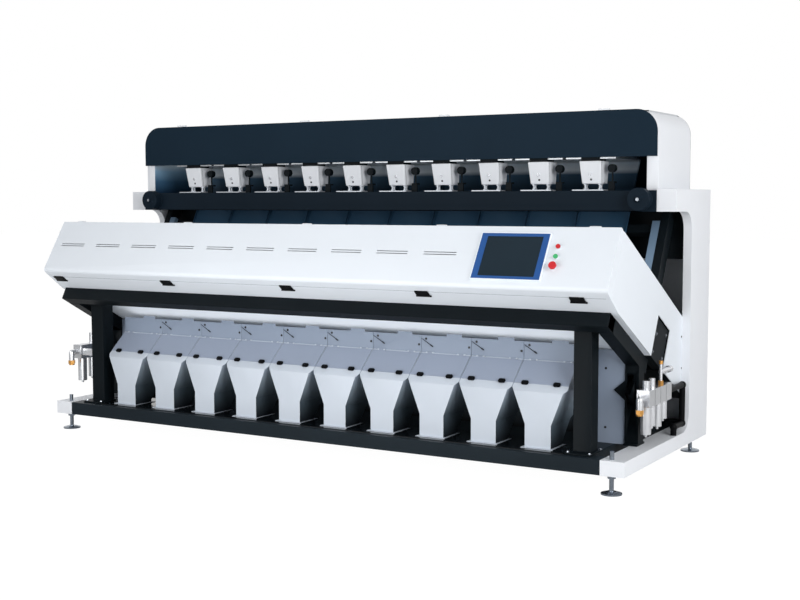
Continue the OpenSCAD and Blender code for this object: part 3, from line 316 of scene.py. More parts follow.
WHITE = Finish("white_powder_coat", (231, 234, 239), 0.45, bump=0.04, mottle=0.02, specular=0.3)
WHITE_SHEET = Finish("white_cover_sheet", (225, 231, 238), 0.38, bump=0.03, mottle=0.015,
                     specular=0.35)
BLACK = Finish("black_powder_coat", (14, 20, 24), 0.42, bump=0.09, mottle=0.12, specular=0.06)
BASE_BLACK = Finish("base_black_paint", (27, 35, 41), 0.4, bump=0.09, mottle=0.12, specular=0.08)
DECK = Finish("deck_black_gloss", (12, 16, 20), 0.16, bump=0.03, mottle=0.12, specular=0.4)
NAVY = Finish("hood_navy_paint", (23, 39, 52), 0.42, bump=0.05, mottle=0.05, specular=0.04)
BEAM = Finish("feeder_beam_paint", (22, 33, 43), 0.42, bump=0.07, mottle=0.08, specular=0.04)
# Painted light on the chutes: the pale band between 1668 and 1706 mm is a painted reflection, and
# the dark stops above 1728 mm, under the hood, are painted shade; the colour also darkens towards
# 1560 mm.
CHUTE_PAINTED_LIGHT = GradedFinish("chute_painted_reflection_and_shade", (38, 62, 84), 0.36, 0.2, Grain.BRUSHED, 0.05, 0.08, 0.25, (
    (1300, (52, 86, 114)), (1430, (50, 82, 108)), (1560, (34, 52, 68)), (1640, (70, 100, 124)),
    (1668, (236, 245, 252)), (1706, (222, 236, 247)), (1728, (26, 38, 48)), (1780, (20, 28, 36))))
RAIL = Finish("rail_anodised", (112, 136, 160), 0.4, 0.3, Grain.BRUSHED, 0.06, 0.06, specular=0.3)
HOPPER = Finish("hopper_grey_paint", (196, 204, 214), 0.42, mottle=0.03, specular=0.3)
DOOR = Finish("hopper_door_paint", (150, 160, 178), 0.4, mottle=0.03, specular=0.3)
ZINC = Finish("zinc_plate", (150, 155, 162), 0.26, 0.9, Grain.CAST, 0.05, 0.1)
STEEL = Finish("brushed_stainless", (190, 194, 198), 0.3, 0.9, Grain.BRUSHED, 0.08, 0.06)
AIR_METAL = Finish("cast_air_body", (214, 216, 220), 0.24, 0.75, Grain.CAST, 0.12, 0.06)
BOWL = Finish("filter_bowl", (216, 218, 222), 0.18, 0.7, Grain.CAST, 0.05, 0.06)
BRASS = Finish("turned_brass", (206, 152, 82), 0.3, 0.7, Grain.CAST, 0.06, 0.12)
PLASTIC = Finish("moulded_black", (12, 13, 15), 0.4, 0.0, Grain.CAST, 0.08, 0.1, 0.05)
LAMP = Finish("lamp_diffuser", (228, 238, 246), 0.3, grain=Grain.SMOOTH)
BEZEL = Finish("blue_screen_rim", (40, 84, 147), 0.32, grain=Grain.SMOOTH, bump=0.02, specular=0.15)
SCREEN = Finish("dark_screen", (28, 42, 52), 0.22, 0.0, Grain.SMOOTH, 0.0, 0.1, 0.08)
RED = Finish("red_button", (200, 30, 38), 0.3, grain=Grain.SMOOTH, bump=0.02, specular=0.35)
GREEN = Finish("green_button", (62, 178, 110), 0.3, grain=Grain.SMOOTH, bump=0.02, specular=0.35)
SEAL = Finish("grey_edge_seal", (112, 118, 126), 0.6, 0.0, Grain.SMOOTH, 0.02, 0.1, 0.1)
# Painted light: a brighter copy of the white sheet that lifts the shaded underside of the box
# floor; it is also the plain white of the screen surround.
BRIGHT_WHITE_AND_PAINTED_LIGHT = Finish("bright_white_and_underside_painted_light", (236, 243, 251), 0.5, bump=0.04, mottle=0.02, specular=0.2)
FOOT = Finish("dark_chrome", (132, 140, 150), 0.17, 0.9, Grain.CAST, 0.04, 0.1)
PALE_ZINC = Finish("pale_zinc", (176, 181, 188), 0.36, 0.5, Grain.CAST, 0.05, 0.08)
# Painted shade: a darker copy of the hopper grey for the head walls and end plates, which stand in
# shade.
HEAD_WALL_PAINTED_SHADE = Finish("head_wall_painted_shade", (138, 150, 168), 0.42, mottle=0.03, specular=0.25)
# Painted shade: the hoppers' inner sides, backs and trough go from near black at the bottom to
# light grey at the top.
HOPPER_PAINTED_SHADE = GradedFinish("hopper_inner_painted_shade", (90, 100, 110), 0.5, mottle=0.1, specular=0.1, stops=(
    (185, (14, 18, 22)), (300, (74, 86, 95)), (400, (138, 152, 164)), (500, (186, 198, 212))))
# Painted shade and reflection: the hood's inner end faces go from dark blue at the bottom to near
# white at the top.
HOOD_SIDE_PAINTED_LIGHT = GradedFinish("hood_inner_painted_shade_and_reflection", (60, 90, 120), mottle=0.08, specular=0.2, stops=(
    (1545, (30, 56, 82)), (1620, (66, 104, 136)), (1690, (140, 180, 210)), (1740, (215, 232, 244))))
SCREW = Finish("dark_screw", (22, 24, 28), 0.35, 0.3, Grain.CAST, 0.05, 0.1)
PANE = ClearPane()


@dataclass
class Frames:
    """Local frames of the machine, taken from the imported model.

    Args:
        tilt: Lean of the optical box in degrees.
        chin_y: Setback of the chin from the base front.
        chin_z: Height of the chin.
        top_reach: Reach of the cover's top edge ahead of the chin.
        bend_reach: Reach of the cover's bend ahead of the chin.
        bend_rise: Rise of the bend, square to the box floor.
        box_h: Height of the box, square to its floor.
        lip_depth: Depth of the hoppers' lip behind the base front.
        lip_z: Height of the hoppers' lip.
        slope_run: Depth of the hoppers' slope, from the lip to the head wall.
        slope_rise: Rise of the hoppers' slope.
    """

    tilt: float = 28.0
    chin_y: float = 14.0
    chin_z: float = 927.0
    top_reach: float = 165.0
    bend_reach: float = 191.0
    bend_rise: float = 31.0
    box_h: float = 393.0
    lip_depth: float = 100.0
    lip_z: float = 482.0
    slope_run: float = 169.0
    slope_rise: float = 147.0
    front: float = field(init=False)

    def __post_init__(self) -> None:
        """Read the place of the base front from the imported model."""
        self.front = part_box("base_front_beam")[0].y / MM

    def at(self, x: float, depth: float, z: float) -> Vector:
        """Point by its depth behind the base front, in metres."""
        return Vector((x, self.front + depth, z)) * MM

    def both(self, spots: tuple[Triple, ...], way: Vector) -> Spots:
        """Places on both sides, by side, depth and height, with one outward axis."""
        return [(self.at(side * x, depth, z), way) for side in SIDES for x, depth, z in spots]

    def in_box(self, x: float, u: float, v: float) -> Vector:
        """Point in the frame of the optical box, in metres.

        Args:
            x: Place along the machine.
            u: Distance back along the box floor from the chin.
            v: Height square to the box floor.

        Returns:
            The point in the frame of the model.
        """
        c, s = math.cos(math.radians(self.tilt)), math.sin(math.radians(self.tilt))
        return self.at(x, self.chin_y + u * c + v * s, self.chin_z - u * s + v * c)

    @property
    def face_lean(self) -> float:
        """Lean of the cover face from upright, in degrees."""
        run, rise = self.bend_reach - self.top_reach, self.box_h - self.bend_rise
        return self.tilt + math.degrees(math.atan(run / rise))

    @property
    def wall(self) -> float:
        """Depth of the hoppers' head wall behind the base front."""
        return self.lip_depth + self.slope_run

    def face_matrix(self, x: float, drop: float) -> Matrix:
        """Frame on the cover face: Y up the face, Z out of it, in metres.

        Args:
            x: Place along the machine.
            drop: Distance down the face from its top edge.

        Returns:
            The matrix of the frame.
        """
        top = self.in_box(x, -self.top_reach, self.box_h)
        turn = Matrix.Rotation(math.radians(90 - self.face_lean), 4, "X")
        return Matrix.Translation(top) @ turn @ Matrix.Translation(Vector((0, -drop, 0)) * MM)

    def slope_matrix(self, x: float, up: float, out: float = 0.0) -> Matrix:
        """Frame on the slope of a hopper: origin on its lip, Y up the slope, Z out of it."""
        lip = self.at(x, self.lip_depth, self.lip_z)
        turn = Matrix.Rotation(math.atan(self.slope_rise / self.slope_run), 4, "X")
        return Matrix.Translation(lip) @ turn @ Matrix.Translation(Vector((0, up, out)) * MM)


def linked(name: str, data: ID) -> Object:
    """New object in the scene."""
    obj = bpy.data.objects.new(name, data)
    bpy.context.scene.collection.objects.link(obj)
    return obj


def to_mesh(work: bmesh.types.BMesh) -> Mesh:
    """Turn a working mesh into a mesh and free it."""
    mesh = bpy.data.meshes.new("part")
    work.to_mesh(mesh)
    work.free()
    return mesh


def smooth(mesh: Mesh, angle: float) -> None:
    """Shade a mesh smooth, except at edges over an angle in degrees."""
    mesh.shade_smooth()
    mesh.set_sharp_from_angle(angle=math.radians(angle))


def new_object(name: str, mesh: Mesh, finish: Finish, body: str) -> Object:
    """Link a mesh as a piece that rides on a body.

    Args:
        name: Name of the piece.
        mesh: Its mesh, in the frame of the model.
        finish: Its finish.
        body: Body that it rides on.

    Returns:
        The new object.
    """
    obj = linked(name, mesh)
    mesh.name = name
    mesh.materials.clear()
    mesh.materials.append(finish.material())
    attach(obj, body)
    LOG.info("piece %s on %s", name, body)
    return obj


@dataclass
class Skins:
    """Bevelled skins that stand for the plain CAD nodes.

    Args:
        nodes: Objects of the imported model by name.
        owners: Body of each node.
        weld: Distance in metres within which corners are joined.
        flat: Angle in degrees under which faces are joined.
        sharp: Angle in degrees over which an edge is rounded.
    """

    nodes: dict[str, Object]
    owners: dict[str, str]
    weld: float = 1e-5
    flat: float = 1.0
    sharp: float = 30.0

    def dress(self, node: str, finish: Finish | ClearPane) -> None:
        """Give a node its finish and leave its shape.

        Args:
            node: Name of the node.
            finish: Its finish.
        """
        mesh = self.nodes[node].data
        mesh.materials.clear()
        mesh.materials.append(finish.material())
        LOG.info("finish %s on %s", finish.name, node)

    def soften(self, node: str, finish: Finish, width: float) -> Object:
        """Replace a node by a copy with rounded edges.

        Args:
            node: Name of the node.
            finish: Its finish.
            width: Width of the rounded edges.

        Returns:
            The piece that stands for the node.
        """
        mesh = self.nodes[node].data.copy()
        work = bmesh.new()
        work.from_mesh(mesh)
        bmesh.ops.remove_doubles(work, verts=work.verts, dist=self.weld)
        bmesh.ops.dissolve_limit(work, angle_limit=math.radians(self.flat), verts=work.verts,
                                 edges=work.edges)
        work.to_mesh(mesh)
        work.free()
        obj = new_object(f"{node}_skin", mesh, finish, self.owners[node])
        bevel = obj.modifiers.new("edges", "BEVEL")
        bevel.width = width * MM
        bevel.segments = BEVEL_STEPS
        bevel.limit_method = "ANGLE"
        bevel.angle_limit = math.radians(self.sharp)
        bevel.use_clamp_overlap = True
        smooth(mesh, self.sharp)
        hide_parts(node)
        return obj

    def paint(self, obj: Object, finish: Finish, chosen: Chosen) -> None:
        """Give some faces of a skin another finish.

        Args:
            obj: Skin to paint.
            finish: Finish of the chosen faces.
            chosen: Tells from the middle and the normal of a face if it is painted.
        """
        obj.data.materials.append(finish.material())
        slot = len(obj.data.materials) - 1
        for face in obj.data.polygons:
            if chosen(face.center, face.normal):
                face.material_index = slot

    def flatten(self, obj: Object, place: Matrix, level: float) -> None:
        """Take off what stands above a level of a skin, and close the holes.

        Args:
            obj: Skin to change.
            place: Frame in which the level is measured along Z.
            level: Height in millimetres.
        """
        back = place.inverted()
        work = bmesh.new()
        work.from_mesh(obj.data)
        tall = [v for v in work.verts if (back @ v.co).z > level * MM]
        bmesh.ops.delete(work, geom=tall, context="VERTS")
        rims = [e for e in work.edges if e.is_boundary]
        bmesh.ops.holes_fill(work, edges=rims, sides=0)
        work.to_mesh(obj.data)
        work.free()


class RepeatTree:
    """Geometry Nodes tree that sets copies of a mesh on points and paints them."""

    NAME = ""
    INPUTS: dict[str, tuple[str, ...]] = {}

    def __init__(self) -> None:
        """Take the tree by its name, or build it."""
        self.tree = bpy.data.node_groups.get(self.NAME) or self._build()

    def _build(self) -> NodeTree:
        """Make the tree with its named inputs."""
        tree = bpy.data.node_groups.new(self.NAME, "GeometryNodeTree")
        face = tree.interface
        face.new_socket("Geometry", in_out="INPUT", socket_type="NodeSocketGeometry")
        for kind, names in self.INPUTS.items():
            for name in names:
                face.new_socket(name, in_out="INPUT", socket_type=kind)
        face.new_socket("Material", in_out="INPUT", socket_type="NodeSocketMaterial")
        face.new_socket("Geometry", in_out="OUTPUT", socket_type="NodeSocketGeometry")
        given = add(tree, "NodeGroupInput", {}).outputs
        place = add(tree, "GeometryNodeInstanceOnPoints", self._copies(tree, given))
        real = add(tree, "GeometryNodeRealizeInstances", {"Geometry": place.outputs["Instances"]})
        paint = add(tree, "GeometryNodeSetMaterial", {
            "Geometry": real.outputs["Geometry"], "Material": given["Material"]})
        add(tree, "NodeGroupOutput", {"Geometry": paint.outputs["Geometry"]})
        return tree

    def _copies(self, tree: NodeTree, given: bpy.types.NodeOutputs) -> Inputs:
        """Add what is copied and the points, and return inputs of the node that copies."""
        raise NotImplementedError


class HeadTree(RepeatTree):
    """Tree that sets a screw head with its washer on each point of a mesh.

    Each point carries an "axis" attribute, which is the way that its head faces.
    """

    NAME = "screw_heads"
    WASHER_SIDES = 20
    INPUTS = {
        "NodeSocketFloat": (
            "Head Radius", "Head Height", "Crown", "Washer Radius", "Washer Height"),
        "NodeSocketInt": ("Sides",),
    }

    def _copies(self, tree: NodeTree, given: bpy.types.NodeOutputs) -> Inputs:
        """Add the head, its washer, the points and their turn."""
        crown = add(tree, "ShaderNodeMath", {
            0: given["Head Radius"], 1: given["Crown"]}, operation="MULTIPLY")
        head = add(tree, "GeometryNodeMeshCone", {
            "Vertices": given["Sides"],
            "Radius Top": crown.outputs[0],
            "Radius Bottom": given["Head Radius"],
            "Depth": given["Head Height"],
        })
        washer = add(tree, "GeometryNodeMeshCone", {
            "Vertices": self.WASHER_SIDES,
            "Radius Top": given["Washer Radius"],
            "Radius Bottom": given["Washer Radius"],
            "Depth": given["Washer Height"],
        })
        join = add(tree, "GeometryNodeJoinGeometry", {"Geometry": head.outputs["Mesh"]})
        feed(tree, join, {"Geometry": washer.outputs["Mesh"]})
        points = add(tree, "GeometryNodeMeshToPoints", {"Mesh": given["Geometry"]})
        axis = add(tree, "GeometryNodeInputNamedAttribute", {"Name": "axis"},
                   data_type="FLOAT_VECTOR")
        turn = add(tree, "FunctionNodeAlignRotationToVector", {
            "Vector": axis.outputs["Attribute"]}, axis="Z")
        return {
            "Points": points.outputs["Points"],
            "Instance": join.outputs["Geometry"],
            "Rotation": turn.outputs["Rotation"],
        }


class RowTree(RepeatTree):
    """Tree that repeats a mesh along X."""

    NAME = "repeat_along_row"
    INPUTS = {"NodeSocketInt": ("Count",), "NodeSocketVector": ("Step",)}

    def _copies(self, tree: NodeTree, given: bpy.types.NodeOutputs) -> Inputs:
        """Add the line of points."""
        line = add(tree, "GeometryNodeMeshLine", {
            "Count": given["Count"], "Offset": given["Step"]}, mode="OFFSET")
        return {"Points": line.outputs["Mesh"], "Instance": given["Geometry"]}


def realise(mesh: Mesh, tree: NodeTree, values: dict[str, object]) -> Mesh:
    """Run a Geometry Nodes tree on a mesh and return a plain mesh.

    Args:
        mesh: Mesh that the tree starts from.
        tree: Geometry Nodes tree.
        values: Values of its inputs, by the inputs' names.

    Returns:
        The realised mesh.
    """
    carrier = linked("carrier", mesh)
    mod = carrier.modifiers.new("nodes", "NODES")
    mod.node_group = tree
    for item in tree.interface.items_tree:
        if item.in_out == "INPUT" and item.name in values:
            mod[item.identifier] = values[item.name]
    deps = bpy.context.evaluated_depsgraph_get()
    done = bpy.data.meshes.new_from_object(carrier.evaluated_get(deps), depsgraph=deps)
    bpy.data.objects.remove(carrier)
    return done


@dataclass(frozen=True)
class Head:
    """Sizes of a screw or bolt head.

    Args:
        radius: Radius of the head.
        height: Height of the head above its washer.
        washer: Radius of the washer.
        sides: Sides of the head.
        crown: Radius of the head's top as a share of its foot.
        washer_height: Thickness of the washer.
    """

    radius: float
    height: float
    washer: float
    sides: int = 6
    crown: float = 0.82
    washer_height: float = 1.2

    def scatter(self, name: str, places: Spots, finish: Finish) -> None:
        """Set a head at each place, as one piece of the frame.

        Args:
            name: Name of the piece.
            places: Point and outward axis of each head.
            finish: Finish of the heads.
        """
        mesh = bpy.data.meshes.new(name)
        mesh.from_pydata([tuple(p) for p, _ in places], [], [])
        axis = mesh.attributes.new("axis", "FLOAT_VECTOR", "POINT")
        for i, (_, way) in enumerate(places):
            axis.data[i].vector = way
        values: dict[str, object] = {
            "Head Radius": self.radius * MM,
            "Head Height": (self.height + self.washer_height) * MM,
            "Crown": self.crown,
            "Washer Radius": self.washer * MM,
            "Washer Height": self.washer_height * MM,
            "Sides": self.sides,
            "Material": finish.material(),
        }
        new_object(name, realise(mesh, HeadTree().tree, values), finish, Body.FRAME)


WALL_SCREW = Head(5.5, 2.5, 7.0, 16, 0.8, 0.8)
FEEDER_SCREW = Head(5.0, 2.0, 6.0, 16, 0.8, 0.6)
FEEDER_LAMP = Head(7.5, 5.0, 10.0, 20, 0.7, 1.2)
POST_BOLT = Head(7.0, 6.0, 11.0)
BOSS_BOLT = Head(7.0, 3.0, 9.0, 6, 0.8, 1.0)
CHEEK_BOLT = Head(7.0, 4.5, 10.0, 6, 0.85, 0.5)
PANEL_SCREW = Head(5.0, 1.6, 6.5, 12, 0.8, 0.6)
REAR_SCREW = Head(6.0, 2.5, 9.0, 6, 0.85, 1.0)


@dataclass
class Sheet:
    """A flat outline that is given a thickness and rounded edges.

    Args:
        points: Outline, in millimetres, in the plane of a frame.
        thickness: Thickness along the frame's Z.
        bevel: Width of the rounded edges.
    """

    points: list[Pair]
    thickness: float
    bevel: float = 0.6

    def mesh(self, place: Matrix) -> Mesh:
        """Make the solid in a frame.

        Args:
            place: Frame whose XY plane holds the outline.

        Returns:
            The closed mesh.
        """
        work = bmesh.new()
        verts = [work.verts.new(Vector((x, y, 0)) * MM) for x, y in self.points]
        face = work.faces.new(verts)
        grown = bmesh.ops.extrude_face_region(work, geom=[face])
        top = [g for g in grown["geom"] if isinstance(g, bmesh.types.BMVert)]
        bmesh.ops.translate(work, verts=top, vec=Vector((0, 0, self.thickness)) * MM)
        bmesh.ops.recalc_face_normals(work, faces=work.faces)
        bmesh.ops.bevel(work, geom=list(work.edges), offset=self.bevel * MM, profile=0.5,
                        segments=BEVEL_STEPS, affect="EDGES", clamp_overlap=True)
        bmesh.ops.transform(work, matrix=place, verts=work.verts)
        return to_mesh(work)


def rounded(w: float, h: float, r: float) -> list[Pair]:
    """Outline of a rectangle with round corners, centred.

    Args:
        w: Width.
        h: Height.
        r: Corner radius.

    Returns:
        Points, anticlockwise.
    """
    points = []
    for cx, cy, start in ((1, 1, 0), (-1, 1, 90), (-1, -1, 180), (1, -1, 270)):
        for i in range(CORNER_STEPS + 1):
            a = math.radians(start + 90 * i / CORNER_STEPS)
            points.append((cx * (w / 2 - r) + r * math.cos(a), cy * (h / 2 - r) + r * math.sin(a)))
    return points


def joined(meshes: list[Mesh]) -> Mesh:
    """Join meshes in one frame into one."""
    work = bmesh.new()
    for mesh in meshes:
        work.from_mesh(mesh)
    return to_mesh(work)


def row(name: str, meshes: list[Mesh], count: int, step: float, finish: Finish) -> None:
    """Repeat meshes along the machine, as one piece of the frame.

    Args:
        name: Name of the piece.
        meshes: Meshes at the first place.
        count: Number of places.
        step: Distance between places.
        finish: Finish of the piece.
    """
    values: dict[str, object] = {
        "Count": count, "Step": (step * MM, 0.0, 0.0), "Material": finish.material()}
    new_object(name, realise(joined(meshes), RowTree().tree, values), finish, Body.FRAME)


def rod(start: Vector, end: Vector, radius: float, sides: int = 12) -> Mesh:
    """Round bar between two points.

    Args:
        start: First end, in metres.
        end: Other end, in metres.
        radius: Radius in millimetres.
        sides: Sides of the bar.

    Returns:
        The closed mesh.
    """
    way = end - start
    work = bmesh.new()
    bmesh.ops.create_cone(work, cap_ends=True, segments=sides, radius1=radius * MM,
                          radius2=radius * MM, depth=way.length)
    turn = way.to_track_quat("Z", "Y").to_matrix().to_4x4()
    middle = Matrix.Translation((start + end) / 2)
    bmesh.ops.transform(work, matrix=middle @ turn, verts=work.verts)
    mesh = to_mesh(work)
    smooth(mesh, ROD_SHARP)
    return mesh


@dataclass
class Details:
    """Pieces that are added to the machine.

    Args:
        frames: Local frames of the machine.
    """

    frames: Frames


@dataclass
class HopperDetails(Details):
    """Catches, screws and rods on the row of hoppers.

    Args:
        catch_at: Side, place up the slope and seat of a door's catches.
        wall_screws: Shift from a seam of the head wall and height of its screws.
        end_screws: Side, depth and height of the end plates' screws.
        rod_ends: Shift from a seam and height of a rod's upper and lower end.
        rod_out: Distance of a rod from the head wall.
        tip_share: Share of a rod's length at which its thick tip starts.
    """

    catch_at: Triple = (92.0, 54.0, 3.4)
    wall_screws: tuple[Pair, ...] = ((32.0, 707.0), (-14.0, 672.0))
    end_screws: tuple[Triple, ...] = ((1681.0, 450.0, 264.0), (1681.0, 450.0, 585.0))
    rod_ends: tuple[Pair, Pair] = ((4.0, 708.0), (78.0, 664.0))
    rod_out: float = 4.0
    tip_share: float = 0.78

    def build(self) -> None:
        """Make all the pieces."""
        for k in range(CHUTES):
            self._catches(k)
        self._screws()
        self._rods()

    def _catches(self, k: int) -> None:
        """Round black catches on a door."""
        apart, up, out = self.catch_at
        pill = Sheet(rounded(40, 26, 9), 9.0, 2.0)
        meshes = [pill.mesh(self.frames.slope_matrix(chute_x(k) + side * apart, up, out))
                  for side in SIDES]
        catches = joined(meshes)
        new_object(f"door_catches_{k + 1}", catches, PLASTIC, f"hopper_door_{k + 1}")
        smooth(catches, CATCH_SHARP)

    def _screws(self) -> None:
        """Dark screws on the head walls and on the end plates."""
        f = self.frames
        places = [(f.at(chute_x(k) - PITCH / 2 + shift, f.wall, z), AHEAD)
                  for k in range(1, CHUTES) for shift, z in self.wall_screws]
        places += f.both(self.end_screws, AHEAD)
        WALL_SCREW.scatter("head_wall_screws", places, SCREW)

    def _rods(self) -> None:
        """Thin rod with a thicker tip across each seam of the head walls."""
        first = chute_x(1) - PITCH / 2
        depth = self.frames.wall - self.rod_out
        upper, lower = (self.frames.at(first + shift, depth, z) for shift, z in self.rod_ends)
        tip = upper.lerp(lower, self.tip_share)
        bars = [rod(upper, lower, radius=1.7), rod(tip, lower, radius=3.4)]
        row("head_wall_rods", bars, CHUTES - 1, PITCH, SCREW)


@dataclass
class FeederDetails(Details):
    """Screws, lamps and side seams of the feeder boxes.

    Args:
        front: Depth of the upper edge of the boxes' fronts.
        low: Height of the boxes' undersides.
        height: Height of the boxes.
        lean: Lean of the fronts in degrees.
        screw_at: Shift along the machine of the screws and their share of the height.
        lamp_at: The same of the lamps.
        seam_ends: Side, depth behind the front and height of a seam's two ends.
    """

    front: float = 787.0
    low: float = 1580.0
    height: float = 128.0
    lean: float = 12.0
    screw_at: Pair = (0.0, 0.19)
    lamp_at: Pair = (-2.0, 0.42)
    seam_ends: tuple[Triple, Triple] = ((57.3, 44.0, 3.0), (64.8, 17.0, 125.0))

    def build(self) -> None:
        """Make all the pieces."""
        FEEDER_SCREW.scatter("feeder_screws", self._on_fronts(*self.screw_at), SCREW)
        FEEDER_LAMP.scatter("feeder_lamps", self._on_fronts(*self.lamp_at), AIR_METAL)
        bars = [rod(*self._seam(side), radius=0.8, sides=6) for side in SIDES]
        row("feeder_seams", bars, CHUTES, PITCH, SCREW)

    def _on_fronts(self, shift: float, share: float) -> Spots:
        """Places on the fronts of the boxes at a share of their height."""
        lean = math.radians(self.lean)
        out = Vector((0, -math.cos(lean), -math.sin(lean)))
        depth = self.front + self.height * (1 - share) * math.tan(lean)
        z = self.low + self.height * share
        return [(self.frames.at(chute_x(k) + shift, depth, z), out) for k in range(CHUTES)]

    def _seam(self, side: int) -> list[Vector]:
        """Ends of the lid's seam on one side of the first box."""
        return [self.frames.at(chute_x(0) + side * x, self.front + depth, self.low + z)
                for x, depth, z in self.seam_ends]


@dataclass
class FrameDetails(Details):
    """Bolts of the posts, the bosses, the cheeks and the end panels, and trim.

    Args:
        foot_bolts: Side, depth and height of the bolts at the feet of the posts.
        boss_bolts: Side, depth and height of the bolts on the feeder beam's bosses.
        cheek_x: Side of the cheek bolts.
        cheek_bolts: Places of the cheek bolts in the frame of the optical box.
        panel_screws: Places of the end panels' screws in that frame.
        screen_drop: Distance of the screen's middle down the cover face.
    """

    foot_bolts: tuple[Triple, ...] = (
        (1628.0, 62.0, 189.0), (1628.0, 209.0, 189.0),
        (1748.0, 62.0, 189.0), (1748.0, 209.0, 189.0))
    boss_bolts: tuple[Triple, ...] = ((1757.0, 690.0, 1491.0),)
    cheek_x: float = 1898.9
    cheek_bolts: tuple[Pair, ...] = ((618.0, 148.0), (770.0, 200.0), (770.0, 62.0), (610.0, 40.0))
    panel_screws: tuple[Pair, ...] = ((996.0, 287.0), (1072.0, 179.0), (1090.0, 133.0))
    screen_drop: float = 182.0

    def build(self) -> None:
        """Make all the pieces."""
        up = Vector((0, 0, 1))
        POST_BOLT.scatter("post_bolts", self.frames.both(self.foot_bolts, up), ZINC)
        BOSS_BOLT.scatter("boss_bolts", self.frames.both(self.boss_bolts, AHEAD), ZINC)
        cheeks = self._on_ends(self.cheek_x, self.cheek_bolts)
        CHEEK_BOLT.scatter("cheek_bolts", cheeks, ZINC)
        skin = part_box("end_panels")[1].x / MM
        PANEL_SCREW.scatter("end_panel_screws", self._on_ends(skin, self.panel_screws), SCREW)
        self._seams()
        self._surround()
        self._gussets()

    def _on_ends(self, x: float, spots: tuple[Pair, ...]) -> Spots:
        """Places on both ends of the optical box, facing out."""
        return [(self.frames.in_box(side * x, u, v), Vector((side, 0, 0)))
                for side in SIDES for u, v in spots]

    def _seams(self) -> None:
        """Dark joints between the air units, and a seal along the lower edge of the cover."""
        f = self.frames
        outside, low, high, depths = 1949.2, 403.0, 487.0, (475.0, 565.0, 655.0)
        joints = [rod(f.at(outside, depth, low), f.at(outside, depth, high), radius=1.5, sides=8)
                  for depth in depths]
        new_object("air_unit_joints", joined(joints), SCREW, Body.FRAME)
        half, reach, out = 1885.0, 123.2, 0.6
        rise = reach * f.bend_rise / f.bend_reach + out
        ends = [f.in_box(side * half, -reach, rise) for side in SIDES]
        new_object("cover_edge_seal", rod(*ends, radius=1.3, sides=8), SEAL, Body.COVER)

    def _surround(self) -> None:
        """White edge round the rim of the screen."""
        low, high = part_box("screen_bezel")
        wide, tall, edge, proud, corner = (high.x - low.x) / MM, 272.0, 5.0, 8.6, 1.5
        middle = self.frames.face_matrix((low.x + high.x) / 2 / MM, self.screen_drop)
        upright = Sheet(rounded(edge, tall + 2 * edge, corner), proud)
        level = Sheet(rounded(wide, edge, corner), proud)
        bars = []
        for side in SIDES:
            aside, above = side * (wide + edge) / 2, side * (tall + edge) / 2
            for bar, x, y in ((upright, aside, 0), (level, 0, above)):
                shift = Matrix.Translation(Vector((x, y, 0)) * MM)
                bars.append(bar.mesh(middle @ shift))
        new_object("screen_surround", joined(bars), BRIGHT_WHITE_AND_PAINTED_LIGHT, Body.COVER)

    def _gussets(self) -> None:
        """Triangular plate on the inner side of each leg, ahead of the hoppers' end plates."""
        inner, depth, low, reach, tall, thick = 1792.7, 448.0, 419.0, 64.0, 108.0, 6.0
        turn = Matrix(((1, 0, 0, 0), (0, 0, -1, 0), (0, 1, 0, 0), (0, 0, 0, 1)))
        meshes = []
        for side in SIDES:
            plate = Sheet([(0, 0), (-side * reach, tall / 2), (0, tall)], thick, 0.8)
            place = Matrix.Translation(self.frames.at(side * inner, depth, low))
            meshes.append(plate.mesh(place @ turn))
        new_object("leg_gussets", joined(meshes), BLACK, Body.FRAME)


@dataclass
class RearDetails(Details):
    """Service panels, louvres, screws and handles across the rear.

    Args:
        columns: Number of panels side by side.
        half: Half the width that they cover.
        gap: Gap between panels.
        rear: Depth of the rear face.
        plate: Thickness of a panel.
        heights: Lower and upper edge of the panels in a column.
    """

    columns: int = 5
    half: float = 1852.0
    gap: float = 8.0
    rear: float = 1361.0
    plate: float = 2.5
    heights: tuple[Pair, ...] = ((196.0, 1140.0), (1158.0, 1416.0))

    def build(self) -> None:
        """Make all the pieces."""
        step = 2 * self.half / self.columns
        wide = step - self.gap
        first = -self.half + step / 2
        panels = [Sheet(rounded(wide, high - low, 14), self.plate, 0.9).mesh(
            self._on_rear(first, (low + high) / 2)) for low, high in self.heights]
        row("rear_panels", panels, self.columns, step, BASE_BLACK)
        louvre_share, louvre_heights = 0.55, range(760, 1060, 30)
        slot = Sheet(rounded(wide * louvre_share, 12, 5.5), 5.0, 2.0)
        slots = [slot.mesh(self._on_rear(first, z)) for z in louvre_heights]
        row("rear_louvres", slots, self.columns, step, PLASTIC)
        grip_share, grip_height = 0.4, 1287.0
        grip = Sheet(rounded(26, 96, 12), 14.0, 3.0).mesh(
            self._on_rear(first + wide * grip_share, grip_height))
        row("rear_handles", [grip], self.columns, step, PLASTIC)
        inset, screw_heights = 18.0, (214.0, 668.0, 1122.0, 1176.0, 1398.0)
        out, aside = Vector((0, 1, 0)), wide / 2 - inset
        screws = [(self.frames.at(first + k * step + side * aside, self.rear + self.plate, z), out)
                  for k in range(self.columns) for side in SIDES for z in screw_heights]
        REAR_SCREW.scatter("rear_screws", screws, ZINC)

    def _on_rear(self, x: float, z: float) -> Matrix:
        """Frame on the rear face: Y up, Z out of it."""
        turn = Matrix(((-1, 0, 0, 0), (0, 0, 1, 0), (0, 1, 0, 0), (0, 0, 0, 1)))
        return Matrix.Translation(self.frames.at(x, self.rear, z)) @ turn


